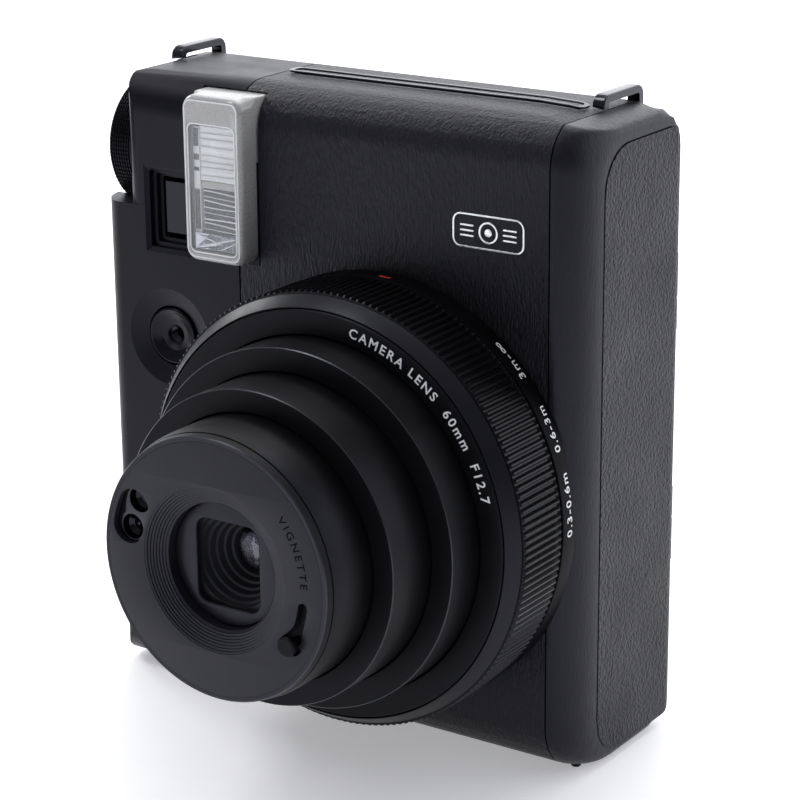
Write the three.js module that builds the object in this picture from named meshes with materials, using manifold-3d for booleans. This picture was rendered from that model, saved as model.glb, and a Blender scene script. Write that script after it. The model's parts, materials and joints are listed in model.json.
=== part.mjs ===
// Instant camera with a collapsible three-stage lens, for 86 x 54 mm instant film.
// Millimetres. +X is to the right seen from the front, the lens looks along -Y, +Z is up.
// Origin: centre of the body's underside. The front face is at y = FRONT, the lens is run out.
import * as THREE from 'three';
import { mergeVertices } from 'three/addons/utils/BufferGeometryUtils.js';
import Module from 'manifold-3d';

const wasm = await Module();
wasm.setup();

// ---- driving dimensions -------------------------------------------------------------
const WIDTH = 103.5;
const HEIGHT = 117.5;
const HALF = WIDTH / 2;
const FRONT = -20;
const BACK = 17.7;
const DOOR_BACK = 20;
const WALL = 2;
const GAP = 0.3;
const FRONT_ROUND = { low: 10, high: 8 };
const BACK_ROUND = { low: 8, high: { y: 13.7, z: 20 } };
const SIDE_ROUND = { x: 5.5, y: 8.5 };
const CROWN = { x: 16, z: 3.5 };
const MOUTH = { z0: 5.5, z1: 103.8 };

const LEFT_SEAM = -18.5;
const RIGHT_SEAM = 46.2;
const BACK_SEAM = 16.6;

const LENS_X = 12.8;
const LENS_Z = 48.8;
const RING_R = 39.3;
const RING_REAR = FRONT - GAP;
const BAND_FRONT = FRONT - 4.2;
const RING_FRONT = FRONT - 19.5;
const TUBE_R = 35.4;
const REAR_BARREL = { r: 32, front: -47.5, travel: 8 };
const MIDDLE_BARREL = { r: 27.6, front: -58.2, travel: 10.7 };
const FRONT_BARREL = { r: 23.4, front: -69.8, travel: 11.6 };
const BARREL_LENGTH = 17.3;
const BARREL_WALL = 1.5;

const FLASH = { x0: -27.6, x1: -14, z0: 85.5, z1: 115.7, front: -24.2, back: -13 };
const FINDER = { x0: -39.7, x1: -28.6, z0: 84.9, z1: 100.3 };
const SHUTTER = { x: -35.3, z: 68.6, dish: 9.3, r: 5.35 };
const DIAL = { y: -5, z: 102, r: 12.3, x0: -51.2, x1: -45.2, wall: 2.7 };
const DOOR = { x0: -26, x1: 46.7, z0: 7.8, z1: 101 };
const DOOR_AXIS = { x: 48.6, y: 17.9 };
const HINGE = { knuckle: 1.5, room: 2.2, bore: 0.95, pin: 0.7 };
const CHAMBER = { x0: -20.9, x1: 46.1, front: -4.4, z0: 7.6, z1: 102.2 };
const APERTURE = { w: 47, h: 63 };
const SLOT = { x0: -16.2, x1: 43.2, y0: -5.7, y1: -3.3 };
const ROLLER = { r: 2.3, z: 109.5, front: -7.05, rear: -1.95, shaft: 1 };
const GEAR_MODULE = 0.425;
const BATTERY_DOOR = { x0: -48, x1: -26.5, y0: -9.6, y1: 3.4, thick: 1.7 };
const TRIPOD = { x: LENS_X, y: -4, outer: 5.6, hole: 3.1, depth: 5 };

// ---- materials ------------------------------------------------------------------------
function material(color, roughness, metalness = 0, extra = {}) {
  return new THREE.MeshStandardMaterial({ color, roughness, metalness, ...extra });
}
const BLACK = 0x17171b;
const shellPlastic = () => material(BLACK, 0.5);
const leather = () => material(0x1d1d20, 0.75);
const barrelPlastic = () => material(0x101012, 0.4);
const glossBlack = () => material(0x08080a, 0.15);
const innerPlastic = () => material(0x222226, 0.7);
const steel = () => material(0xa8a9ad, 0.3, 1);
const brass = () => material(0xb08d4a, 0.35, 1);
const rubber = () => material(0x151515, 0.9);
const glass = (color = 0xe8eef2) => material(color, 0.05, 0, { transparent: true, opacity: 0.35 });

// ---- solids ------------------------------------------------------------------------------
function signedVolume(position, index) {
  const a = new THREE.Vector3();
  const b = new THREE.Vector3();
  const c = new THREE.Vector3();
  let sum = 0;
  for (let i = 0; i < index.length; i += 3) {
    a.fromBufferAttribute(position, index[i]);
    b.fromBufferAttribute(position, index[i + 1]);
    c.fromBufferAttribute(position, index[i + 2]);
    sum += a.dot(b.cross(c));
  }
  return sum / 6;
}

// A closed three.js geometry as a solid: shared vertices merged, slivers on an axis dropped,
// faces turned outwards.
function solid(geometry) {
  const bare = geometry.clone();
  bare.deleteAttribute('normal');
  bare.deleteAttribute('uv');
  const merged = mergeVertices(bare, 1e-4);
  const source = merged.index.array;
  const kept = [];
  for (let i = 0; i < source.length; i += 3) {
    const [a, b, c] = [source[i], source[i + 1], source[i + 2]];
    if (a !== b && b !== c && a !== c) kept.push(a, b, c);
  }
  const position = merged.getAttribute('position');
  if (signedVolume(position, kept) < 0) kept.reverse();
  return new wasm.Manifold(new wasm.Mesh({
    numProp: 3,
    vertProperties: new Float32Array(position.array),
    triVerts: new Uint32Array(kept),
  }));
}

function geometryOf(body) {
  const mesh = body.getMesh();
  const geometry = new THREE.BufferGeometry();
  geometry.setAttribute('position', new THREE.BufferAttribute(new Float32Array(mesh.vertProperties), 3));
  geometry.setIndex(new THREE.BufferAttribute(new Uint32Array(mesh.triVerts), 1));
  return geometry;
}

const join = (first, ...others) => others.reduce((sum, next) => sum.add(next), first);
const cut = (first, ...tools) => tools.reduce((sum, tool) => sum.subtract(tool), first);

function box(x0, x1, y0, y1, z0, z1) {
  const geometry = new THREE.BoxGeometry(x1 - x0, y1 - y0, z1 - z0);
  return solid(geometry.translate((x0 + x1) / 2, (y0 + y1) / 2, (z0 + z1) / 2));
}

// Round bars along each axis, from a to b.
function barX(r, a, b, y, z, sides = 24) {
  const geometry = new THREE.CylinderGeometry(r, r, b - a, sides).rotateZ(Math.PI / 2);
  return solid(geometry.translate((a + b) / 2, y, z));
}
function barY(r, a, b, x, z, sides = 24) {
  return solid(new THREE.CylinderGeometry(r, r, b - a, sides).translate(x, (a + b) / 2, z));
}
function barZ(r, a, b, x, y, sides = 24) {
  const geometry = new THREE.CylinderGeometry(r, r, b - a, sides).rotateX(Math.PI / 2);
  return solid(geometry.translate(x, y, (a + b) / 2));
}

// A profile of [radius, y] points, closed on itself or on the axis, turned about the lens axis.
function turned(profile, { x = LENS_X, z = LENS_Z, sides = 40 } = {}) {
  const points = profile.map(([r, y]) => new THREE.Vector2(r, y));
  return solid(new THREE.LatheGeometry(points, sides).translate(x, 0, z));
}
function ringY(inner, outer, y0, y1, options) {
  return turned([[inner, y0], [outer, y0], [outer, y1], [inner, y1], [inner, y0]], options);
}

// Flat outlines pushed along an axis: (y, z) along X, (x, z) along Y, (x, y) along Z.
function extruded(shape, depth, bevel = 0, steps = 2) {
  return new THREE.ExtrudeGeometry(shape, {
    depth: depth - 2 * bevel,
    curveSegments: steps,
    bevelEnabled: bevel > 0,
    bevelThickness: bevel,
    bevelSize: bevel,
    bevelOffset: -bevel,
    bevelSegments: 2,
  }).translate(0, 0, bevel);
}
function prismX(shape, x0, x1, bevel, steps) {
  const turn = new THREE.Matrix4().set(0, 0, 1, x0, 1, 0, 0, 0, 0, 1, 0, 0, 0, 0, 0, 1);
  return solid(extruded(shape, x1 - x0, bevel, steps).applyMatrix4(turn));
}
function prismY(shape, y0, y1, bevel, steps) {
  const turn = new THREE.Matrix4().set(1, 0, 0, 0, 0, 0, -1, y1, 0, 1, 0, 0, 0, 0, 0, 1);
  return solid(extruded(shape, y1 - y0, bevel, steps).applyMatrix4(turn));
}
function prismZ(shape, z0, z1, bevel, steps) {
  return solid(extruded(shape, z1 - z0, bevel, steps).translate(0, 0, z0));
}

// Rectangle with a rounding [rx, ry] at each corner, in the order
// low-left, low-right, high-right, high-left.
function roundedBox(x0, x1, y0, y1, corners) {
  const [a, b, c, d] = Array.isArray(corners) ? corners : Array(4).fill([corners, corners]);
  const shape = new THREE.Shape();
  shape.moveTo(x0 + a[0], y0);
  shape.lineTo(x1 - b[0], y0);
  shape.absellipse(x1 - b[0], y0 + b[1], b[0], b[1], -Math.PI / 2, 0, false);
  shape.lineTo(x1, y1 - c[1]);
  shape.absellipse(x1 - c[0], y1 - c[1], c[0], c[1], 0, Math.PI / 2, false);
  shape.lineTo(x0 + d[0], y1);
  shape.absellipse(x0 + d[0], y1 - d[1], d[0], d[1], Math.PI / 2, Math.PI, false);
  shape.lineTo(x0, y0 + a[1]);
  shape.absellipse(x0 + a[0], y0 + a[1], a[0], a[1], Math.PI, 1.5 * Math.PI, false);
  return shape;
}

// ---- casing --------------------------------------------------------------------------------
// The body's full outline, or its inside when inset: the common part of a side, top and front view.
function bodySolid(inset) {
  const rear = BACK - inset;
  const pair = (x, y = x) => [Math.max(x - inset, 0.3), Math.max(y - inset, 0.3)];
  const side = roundedBox(FRONT + inset, rear, inset, HEIGHT - inset, [pair(FRONT_ROUND.low),
    pair(BACK_ROUND.low), pair(BACK_ROUND.high.y, BACK_ROUND.high.z), pair(FRONT_ROUND.high)]);
  const sideFront = pair(SIDE_ROUND.x, SIDE_ROUND.y);
  const sideBack = pair(4);
  const top = roundedBox(-HALF + inset, HALF - inset, FRONT + inset, rear,
    [sideFront, sideFront, sideBack, sideBack]);
  const foot = pair(1.5);
  const crown = pair(CROWN.x, CROWN.z);
  const face = roundedBox(-HALF + inset, HALF - inset, inset, HEIGHT - inset, [foot, foot, crown, crown]);
  return prismX(side, -HALF - 5, HALF + 5, 0, 3)
    .intersect(prismZ(top, -5, HEIGHT + 5, 0, 3))
    .intersect(prismY(face, FRONT - 5, BACK + 5, 0, 2));
}
const OUTER = bodySolid(0);
const INNER = bodySolid(WALL);

// The opening at the back of the front covers, which the back cover's lip fits into.
const backMouth = (inset) => roundedBox(-HALF + WALL + inset, HALF - WALL - inset,
  MOUTH.z0 + inset, MOUTH.z1 - inset, 3);
const FRONT_SHELL = cut(OUTER, INNER, prismY(backMouth(0), 13, 25))
  .intersect(box(-60, 60, -30, BACK_SEAM - GAP / 2, -5, 125));

const lensOpening = () => barY(TUBE_R + GAP, FRONT - 3, FRONT + 6, LENS_X, LENS_Z, 48);
const flashOpening = () => box(FLASH.x0 - GAP, FLASH.x1 + GAP, -30, FLASH.back + GAP,
  FLASH.z0 - GAP, FLASH.z1 + GAP);
const doorKnuckleRoom = () => join(
  barZ(HINGE.room, 29.7, 38.2, DOOR_AXIS.x, DOOR_AXIS.y, 16),
  barZ(HINGE.room, 79.8, 88.3, DOOR_AXIS.x, DOOR_AXIS.y, 16));

function screwPlaces() {
  return [[-30, 10], [32, 10]];
}
// Small moulded feet under the two end covers.
const mouldedFeet = (side) => [-11, 6.5].map((y) => barZ(0.9, -0.6, 0.8, side * 47.4, y, 12));
const screwHoles = () => join(...screwPlaces().map(([x, y]) => barZ(1.6, -1, 3, x, y, 12)));

// The dial sits in a stepped, rounded corner of the left cover, with solid walls round it.
function dialHousing() {
  const reach = DIAL.r + 2.5;
  const block = box(-60, DIAL.x1 + GAP + DIAL.wall, -30, DIAL.y + reach, DIAL.z - reach, 125);
  return block.intersect(bodySolid(0.5));
}
function dialWell() {
  const side = DIAL.x1 + GAP;
  const ledge = DIAL.z - 9;
  const corner = 4;
  const square = box(-60, side + corner, -30, FRONT + corner, ledge, 125);
  const round = barZ(corner, ledge - 5, 130, side + corner, FRONT + corner, 32);
  return join(
    barX(DIAL.r + GAP, -60, side, DIAL.y, DIAL.z, 36),
    box(-60, side, -30, DIAL.y, ledge, 125),
    box(-60, side, -30, DIAL.y + 9, DIAL.z, 125),
    cut(square, round),
    barX(1.8, -60, side + 10, DIAL.y, DIAL.z, 16));
}

function gripCover() {
  const region = box(-60, LEFT_SEAM - GAP / 2, -30, 30, -5, 125);
  const dish = turned([[0, FRONT - 1], [SHUTTER.dish + 1, FRONT - 0.15], [SHUTTER.dish, FRONT],
    [SHUTTER.r + 0.4, FRONT + 1.3], [SHUTTER.r + 0.4, FRONT + 4], [0, FRONT + 4]],
    { x: SHUTTER.x, z: SHUTTER.z, sides: 28 });
  const finderHole = box(FINDER.x0 - GAP, FINDER.x1 + GAP, -30, FRONT + 5, FINDER.z0 - GAP, FINDER.z1 + GAP);
  const batteryHole = box(BATTERY_DOOR.x0 - GAP, BATTERY_DOOR.x1 + GAP,
    BATTERY_DOOR.y0 - GAP, BATTERY_DOOR.y1 + GAP, -1, 4);
  const shell = cut(FRONT_SHELL.intersect(region).add(dialHousing()), lensOpening(), flashOpening(),
    dialWell(), dish, finderHole, batteryHole, screwHoles());
  return join(shell, ...mouldedFeet(-1));
}

function centreCover() {
  const region = box(LEFT_SEAM + GAP / 2, RIGHT_SEAM - GAP / 2, -30, 30, -5, 125);
  const slot = box(SLOT.x0, SLOT.x1, SLOT.y0, SLOT.y1, HEIGHT - 5, HEIGHT + 5);
  const socket = barZ(TRIPOD.outer + GAP, -1, 4, TRIPOD.x, TRIPOD.y, 24);
  const collar = ringY(TUBE_R + GAP, TUBE_R + 3, FRONT + 1, FRONT + 4);
  const lapped = join(collar.intersect(bodySolid(WALL + GAP)), collar.intersect(region).intersect(bodySolid(1.5)));
  const shell = cut(FRONT_SHELL.intersect(region), lensOpening(), flashOpening(), slot, socket, screwHoles());
  return shell.add(lapped);
}

function sidePanelOutline(inset) {
  const front = [8 - inset, 8 - inset];
  const back = [3 - inset, 3 - inset];
  return roundedBox(-11.5 + inset, 16 - inset, 1.2 + inset, 112.2 - inset, [front, back, back, front]);
}

function sideCover() {
  const region = box(RIGHT_SEAM + GAP / 2, 60, -30, 30, -5, 125);
  const recess = prismX(sidePanelOutline(-0.1), HALF - 0.9, HALF + 2);
  const shell = cut(FRONT_SHELL.intersect(region), lensOpening(), recess, screwHoles(),
    barZ(HINGE.room, 29.7, 88.3, DOOR_AXIS.x, DOOR_AXIS.y, 16));
  return join(shell, ...mouldedFeet(1));
}

const sidePanel = () => prismX(sidePanelOutline(0.15), HALF - 0.6, HALF + 0.1)
  .intersect(bodySolid(-0.1));

// Back plate: the body's rear face with a lip inside the front covers.
function rearCover() {
  const face = OUTER.intersect(box(-60, 60, BACK_SEAM + GAP / 2, 30, -5, 125));
  const lip = prismY(backMouth(GAP), 14, BACK_SEAM + 0.4);
  const hollow = prismY(backMouth(GAP + 1.5), 10, 15.2);
  const plate = cut(join(face, lip), hollow);
  const doorHole = prismY(roundedBox(DOOR.x0 - GAP, DOOR.x1 + GAP, DOOR.z0 - GAP, DOOR.z1 + GAP, 4), 10, 25);
  const eyepiece = box(FINDER.x0 - 0.5, FINDER.x1 + 0.5, 10, 25, FINDER.z0 - 0.5, FINDER.z1 + 0.5);
  const screenHole = box(-46.6, -30.4, 10, 25, 66.2, 78.8);
  const buttonHoles = join(...REAR_BUTTONS.map(([, z]) => barY(3.4, 10, 25, -38.5, z, 20)));
  const latchSlot = box(-30.2, -28, 10, 25, 54, 66);
  const knuckles = join(
    barZ(HINGE.knuckle, 38.5, 44, DOOR_AXIS.x, DOOR_AXIS.y, 16),
    barZ(HINGE.knuckle, 74, 79.5, DOOR_AXIS.x, DOOR_AXIS.y, 16));
  const bores = barZ(HINGE.bore, 20, 95, DOOR_AXIS.x, DOOR_AXIS.y, 12);
  return cut(join(cut(plate, doorHole, eyepiece, screenHole, buttonHoles, latchSlot), knuckles),
    doorKnuckleRoom(), bores);
}

const REAR_BUTTONS = [['flash_mode_button', 50], ['self_timer_button', 40], ['exposure_mode_button', 30]];

// ---- film door -----------------------------------------------------------------------------
function filmDoor() {
  const leaf = prismY(roundedBox(DOOR.x0, DOOR.x1, DOOR.z0, DOOR.z1, 5), BACK - 1.6, DOOR_BACK, 0.9);
  const windowHole = prismY(roundedBox(8.6, 16.6, 50, 74, 2), 10, 25);
  const knuckle = (z0, z1) => join(
    barZ(HINGE.knuckle, z0, z1, DOOR_AXIS.x, DOOR_AXIS.y, 16),
    box(DOOR.x1 - 2, DOOR_AXIS.x, DOOR_AXIS.y - 0.6, DOOR_AXIS.y + 1.2, z0, z1));
  const bore = barZ(HINGE.bore, 20, 95, DOOR_AXIS.x, DOOR_AXIS.y, 12);
  return cut(join(leaf, knuckle(30, 38), knuckle(80, 88)), windowHole, bore);
}
const doorWindow = () => prismY(roundedBox(8.9, 16.3, 50.3, 73.7, 1.8), BACK + 0.4, DOOR_BACK - 0.4);
const doorHingePin = () => barZ(HINGE.pin, 29, 89, DOOR_AXIS.x, DOOR_AXIS.y, 12);
function pressureSprings() {
  const leafAt = (x) => box(x - 2, x + 2, BACK - 3.4, BACK - 2.9, 30, 90);
  const bridge = box(-2, 27, BACK - 2.9, BACK - 1.9, 38, 44);
  const feet = [-2, 27].map((x) => box(x - 2, x + 2, BACK - 3.4, BACK - 1.9, 38, 44));
  return join(leafAt(-2), leafAt(27), bridge, ...feet);
}
function doorLatch() {
  const knob = prismY(roundedBox(-31.2, -27, 55.5, 64.5, 1.2), BACK + GAP, BACK + 1.9, 0.3);
  return knob.add(box(-29.9, -28.3, BACK - 3.2, BACK + 0.6, 57.5, 62.5));
}

// ---- chassis ---------------------------------------------------------------------------------
function chassis() {
  const wall = 1.7;
  const outside = box(CHAMBER.x0 - wall, CHAMBER.x1 + wall, CHAMBER.front - wall, 13.7,
    CHAMBER.z0 - wall, CHAMBER.z1 + wall);
  const inside = box(CHAMBER.x0, CHAMBER.x1, CHAMBER.front, 20, CHAMBER.z0, CHAMBER.z1);
  const aperture = box(LENS_X - APERTURE.w / 2, LENS_X + APERTURE.w / 2, -10, 0,
    LENS_Z - APERTURE.h / 2, LENS_Z + APERTURE.h / 2);
  const filmExit = box(SLOT.x0, SLOT.x1, SLOT.y0 + 1.4, SLOT.y1 + 1, CHAMBER.z1 - 1, CHAMBER.z1 + 4);
  return cut(outside, inside, aperture, filmExit);
}

function rollerFrame() {
  const ends = [[-20.9, -19.3], [44.1, 45.7]];
  const plates = ends.map(([x0, x1]) => box(x0, x1, -11, 2.5, CHAMBER.z1 + 2, 113));
  const rail = box(-20.9, 45.7, 0.9, 2.5, CHAMBER.z1 + 2, 108);
  const holes = [ROLLER.front, ROLLER.rear].map((y) => barX(ROLLER.shaft + 0.1, -30, 60, y, ROLLER.z, 16));
  return cut(join(...plates, rail), ...holes);
}

function toothedWheel(teeth, x0, x1, y, z, bore) {
  const pitch = teeth * GEAR_MODULE / 2;
  const tip = pitch - 0.12;
  const root = pitch - 0.7;
  const shape = new THREE.Shape();
  const step = 2 * Math.PI / teeth;
  for (let i = 0; i < teeth; i += 1) {
    for (const [offset, radius] of [[-0.3, root], [-0.16, tip], [0.16, tip], [0.3, root]]) {
      const angle = (i + offset) * step;
      const [px, py] = [radius * Math.cos(angle), radius * Math.sin(angle)];
      if (i === 0 && offset === -0.3) shape.moveTo(px, py);
      else shape.lineTo(px, py);
    }
  }
  const turn = new THREE.Matrix4().set(0, 0, 1, x0, 1, 0, 0, y, 0, 1, 0, z, 0, 0, 0, 1);
  const wheel = solid(extruded(shape, x1 - x0).applyMatrix4(turn));
  return bore ? wheel.subtract(barX(bore, x0 - 1, x1 + 1, y, z, 12)) : wheel;
}

function ejectRoller(y) {
  const roller = barX(ROLLER.r, -17.9, 43.1, y, ROLLER.z, 20);
  const shaft = barX(ROLLER.shaft, -22.6, 46.2, y, ROLLER.z, 16);
  return join(roller, shaft, toothedWheel(12, -25.2, -22.4, y, ROLLER.z));
}

// The pinion meshes with the rear roller's wheel: 16 teeth on 12.
const MOTOR = (() => {
  const reach = (16 + 12) * GEAR_MODULE / 2;
  const drop = 1;
  return { y: ROLLER.rear + Math.sqrt(reach * reach - drop * drop), z: ROLLER.z - drop, r: 4.5 };
})();
const driveMotor = () => join(
  barX(MOTOR.r, -40.5, -26.2, MOTOR.y, MOTOR.z, 24),
  barX(1.4, -41.8, -40, MOTOR.y, MOTOR.z, 12),
  barX(0.8, -26.5, -22.6, MOTOR.y, MOTOR.z, 12));
const motorPinion = () => toothedWheel(16, -25.2, -22.8, MOTOR.y, MOTOR.z, 1.1);

// ---- lens ------------------------------------------------------------------------------------
function lensBase() {
  const rear = CHAMBER.front - 2;
  return turned([[TUBE_R - 2, RING_FRONT + 2.4], [TUBE_R, RING_FRONT + 2.4], [TUBE_R, rear],
    [TUBE_R - 2, rear], [TUBE_R - 2, RING_FRONT + 2.4]]);
}
const scaleBand = () => ringY(TUBE_R + GAP, RING_R - 0.2, BAND_FRONT, RING_REAR, { sides: 56 });
function focusRing() {
  const inner = TUBE_R + GAP;
  return turned([[inner, BAND_FRONT - GAP], [RING_R, BAND_FRONT - GAP], [RING_R, FRONT - 16.6],
    [36.9, FRONT - 19], [36.9, FRONT - 16.8], [inner, FRONT - 16.8], [inner, BAND_FRONT - GAP]], { sides: 56 });
}
const nameplateRing = () => turned([[32.3, RING_FRONT], [36.3, RING_FRONT], [36.6, RING_FRONT + 0.3],
  [36.6, RING_FRONT + 2], [32.3, RING_FRONT + 2], [32.3, RING_FRONT]]);

// One telescoping tube: a round-edged front face with a hole for the next tube.
function barrel({ r, front }, hole) {
  const back = front + BARREL_LENGTH;
  const inner = r - BARREL_WALL;
  const edge = 0.6;
  return turned([[hole, front], [r - edge, front], [r, front + edge], [r, back], [inner, back],
    [inner, front + 1.6], [hole, front + 1.6], [hole, front]]);
}
const rearBarrel = () => barrel(REAR_BARREL, MIDDLE_BARREL.r + GAP);
const middleBarrel = () => barrel(MIDDLE_BARREL, FRONT_BARREL.r + GAP);
function frontBarrel() {
  const { r, front } = FRONT_BARREL;
  const back = front + BARREL_LENGTH;
  const inner = r - BARREL_WALL;
  return turned([[r - 1.6, front], [r - 0.9, front], [r - 0.25, front + 0.6], [r, front + 1.6], [r, back],
    [inner, back], [inner, front + 3.2], [r - 1.6, front + 3.2], [r - 1.6, front]]);
}

const CAP_R = FRONT_BARREL.r - 1.9;
const SENSOR_CLOCKS = [-56, -72];
const LEVER_ORBIT = 17.8;
const LEVER_CLOCK = 121;
const LEVER_SWEEP = 22;
function onFace(radius, clockDegrees) {
  const angle = THREE.MathUtils.degToRad(clockDegrees);
  return [LENS_X + radius * Math.sin(angle), LENS_Z + radius * Math.cos(angle)];
}

// The front face: a dished square window, a curved slot for the lever, two sensor holes.
function frontCap() {
  const front = FRONT_BARREL.front;
  const plate = barY(CAP_R, front, front + 2.6, LENS_X, LENS_Z, 48);
  const funnel = turned([[0, front - 1], [8.6, front - 1], [8.2, front], [7.2, front + 1.6], [0, front + 1.6]]);
  const half = 5.6;
  const window = prismY(roundedBox(LENS_X - half, LENS_X + half, LENS_Z - half, LENS_Z + half, 2.2),
    front - 1, front + 5);
  const slotSteps = 7;
  const slot = [];
  for (let i = 0; i <= slotSteps; i += 1) {
    const [x, z] = onFace(LEVER_ORBIT, LEVER_CLOCK - LEVER_SWEEP * i / slotSteps);
    slot.push(barY(1.05, front - 1, front + 5, x, z, 12));
  }
  const sensors = SENSOR_CLOCKS.map((clock) => {
    const [x, z] = onFace(18.2, clock);
    return barY(1.9, front - 1, front + 5, x, z, 16);
  });
  return cut(plate, funnel, window, ...slot, ...sensors);
}
function sensorWindows() {
  const front = FRONT_BARREL.front;
  const places = SENSOR_CLOCKS.map((clock) => onFace(18.2, clock));
  const holder = places.map(([x, z]) => barY(2.6, front + 2.9, front + 3.7, x, z, 16));
  return join(...places.map(([x, z]) => barY(1.6, front + 0.9, front + 3, x, z, 16)), ...holder);
}
function vignetteLever() {
  const front = FRONT_BARREL.front;
  const [x, z] = onFace(LEVER_ORBIT, LEVER_CLOCK);
  const stem = barY(0.75, front - 0.5, front + 3.6, x, z, 12);
  const knob = barY(1.7, front - 1.7, front - GAP, x, z, 20);
  const plate = barY(1.5, front + 3, front + 3.8, x, z, 16);
  return join(stem, knob, plate);
}
function lensCell() {
  const front = FRONT_BARREL.front;
  return turned([[7, front + 4.2], [12, front + 4.2], [21.6, front + 5], [21.6, front + 14], [20.4, front + 14],
    [20.4, front + 6.2], [12, front + 6.2], [8.6, front + 6.2], [8.6, front + 11], [7, front + 11],
    [7, front + 4.2]], { sides: 28 });
}
// A lens element with spherical faces, thickness measured on the axis.
function lensElement(r, y, thickness, bulgeFront, bulgeBack, sides = 24) {
  const profile = [[0, y - bulgeFront]];
  const steps = 3;
  for (let i = 1; i <= steps; i += 1) {
    const t = i / steps;
    profile.push([r * t, y - bulgeFront * (1 - t * t)]);
  }
  for (let i = steps; i >= 1; i -= 1) {
    const t = i / steps;
    profile.push([r * t, y + thickness + bulgeBack * (1 - t * t)]);
  }
  profile.push([0, y + thickness + bulgeBack]);
  return turned(profile, { sides });
}
const frontLens = () => lensElement(6.7, FRONT_BARREL.front + 5.4, 1.6, 0.9, 0.4);
const rearLens = () => lensElement(6.7, FRONT_BARREL.front + 12, 1.6, 0.3, 0.8);
function shutterBlade(side) {
  const y = FRONT_BARREL.front + (side > 0 ? 14.8 : 15.4);
  const pivot = LENS_X + side * 13;
  const blade = prismY(roundedBox(LENS_X - 7.5, LENS_X + 7.5, LENS_Z - 7.5, LENS_Z + 7.5, 3), y, y + 0.4);
  const arm = box(Math.min(LENS_X, pivot), Math.max(LENS_X, pivot), y, y + 0.4, LENS_Z - 9, LENS_Z - 6);
  const eye = barY(2, y, y + 0.4, pivot, LENS_Z - 7.5, 16);
  return join(blade, arm, eye);
}

// ---- flash, finder, release -------------------------------------------------------------------
function flashWindow() {
  const { x0, x1, z0, z1, front, back } = FLASH;
  const block = prismY(roundedBox(x0, x1, z0, z1, 2.4), front, back, 1);
  const hollow = box(x0 + 1.5, x1 - 1.5, front + 1.6, back + 1, z0 + 1.5, z1 - 1.8);
  return block.subtract(hollow);
}
function flashReflector() {
  const [x0, x1, z0, z1] = [FLASH.x0 + 1.9, FLASH.x1 - 1.9, 98.4, 111.6];
  const block = box(x0, x1, -21.4, -13.6, z0, z1);
  const bowl = prismX(new THREE.Shape([
    new THREE.Vector2(-22, z0 + 0.8), new THREE.Vector2(-15, 103.2), new THREE.Vector2(-14.6, 105),
    new THREE.Vector2(-15, 106.8), new THREE.Vector2(-22, z1 - 0.8)]), x0 + 0.7, x1 - 0.7);
  return block.subtract(bowl);
}
const flashTube = () => barX(1.1, FLASH.x0 + 3, FLASH.x1 - 3, -17, 105, 16);
const flashSensorBlock = () => join(
  box(FLASH.x0 + 1.9, FLASH.x1 - 1.9, -21.4, -14, 91.8, 98),
  box(FLASH.x0 + 1.9, FLASH.x1 - 1.9, -20.4, -15, 87.4, 92));

function finderFrame() {
  const { x0, x1, z0, z1 } = FINDER;
  const block = box(x0, x1, FRONT + GAP, FRONT + 5, z0, z1);
  const rim = box(x0 + 1, x1 - 1, FRONT - 1, FRONT + 1.6, z0 + 1.2, z1 - 1.2);
  const through = box(x0 + 2, x1 - 2, FRONT - 1, FRONT + 6, z0 + 2.6, z1 - 2.6);
  return cut(block, rim, through);
}
const pane = (y0, y1, margin) => box(FINDER.x0 + margin, FINDER.x1 - margin, y0, y1,
  FINDER.z0 + margin + 0.6, FINDER.z1 - margin - 0.6);
const finderFrontLens = () => pane(FRONT + 3, FRONT + 4.6, 2.3);
const finderRearLens = () => pane(11, 13, 1.6);
function finderTube() {
  const { x0, x1, z0, z1 } = FINDER;
  const tube = box(x0, x1, FRONT + 5.3, 13.6, z0, z1);
  return tube.subtract(box(x0 + 1.2, x1 - 1.2, -20, 20, z0 + 1.2, z1 - 1.2));
}
function eyepieceFrame() {
  const { x0, x1, z0, z1 } = FINDER;
  const frame = prismY(roundedBox(x0 - 0.2, x1 + 0.2, z0 - 0.2, z1 + 0.2, 1.5), 14, BACK + 1.4, 0.5);
  return frame.subtract(box(x0 + 2, x1 - 2, 10, 25, z0 + 3, z1 - 3));
}

function shutterButton() {
  const { x, z, r } = SHUTTER;
  const face = FRONT + 0.6;
  return turned([[1.5, face + 4], [1.5, face + 1], [1.9, face + 0.8], [r - 0.5, face], [r, face + 0.4],
    [r, FRONT + 4.4], [r + 1.2, FRONT + 4.4], [r + 1.2, FRONT + 5.6], [3.2, FRONT + 5.6], [3.2, face + 4],
    [1.5, face + 4]], { x, z, sides: 28 });
}

// A round-wire helical spring along Y.
function coil(x, z, y0, y1, radius, wire, turns) {
  class Helix extends THREE.Curve {
    getPoint(t) {
      const angle = 2 * Math.PI * turns * t;
      return new THREE.Vector3(x + radius * Math.cos(angle), y0 + (y1 - y0) * t, z + radius * Math.sin(angle));
    }
  }
  const section = new THREE.Shape();
  section.absarc(0, 0, wire, 0, 2 * Math.PI, false);
  return solid(new THREE.ExtrudeGeometry(section, {
    steps: 10 * turns, curveSegments: 3, bevelEnabled: false, extrudePath: new Helix(),
  }));
}
const shutterSpring = () => coil(SHUTTER.x, SHUTTER.z, FRONT + 7.8, FRONT + 12, 4, 0.35, 3);

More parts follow.
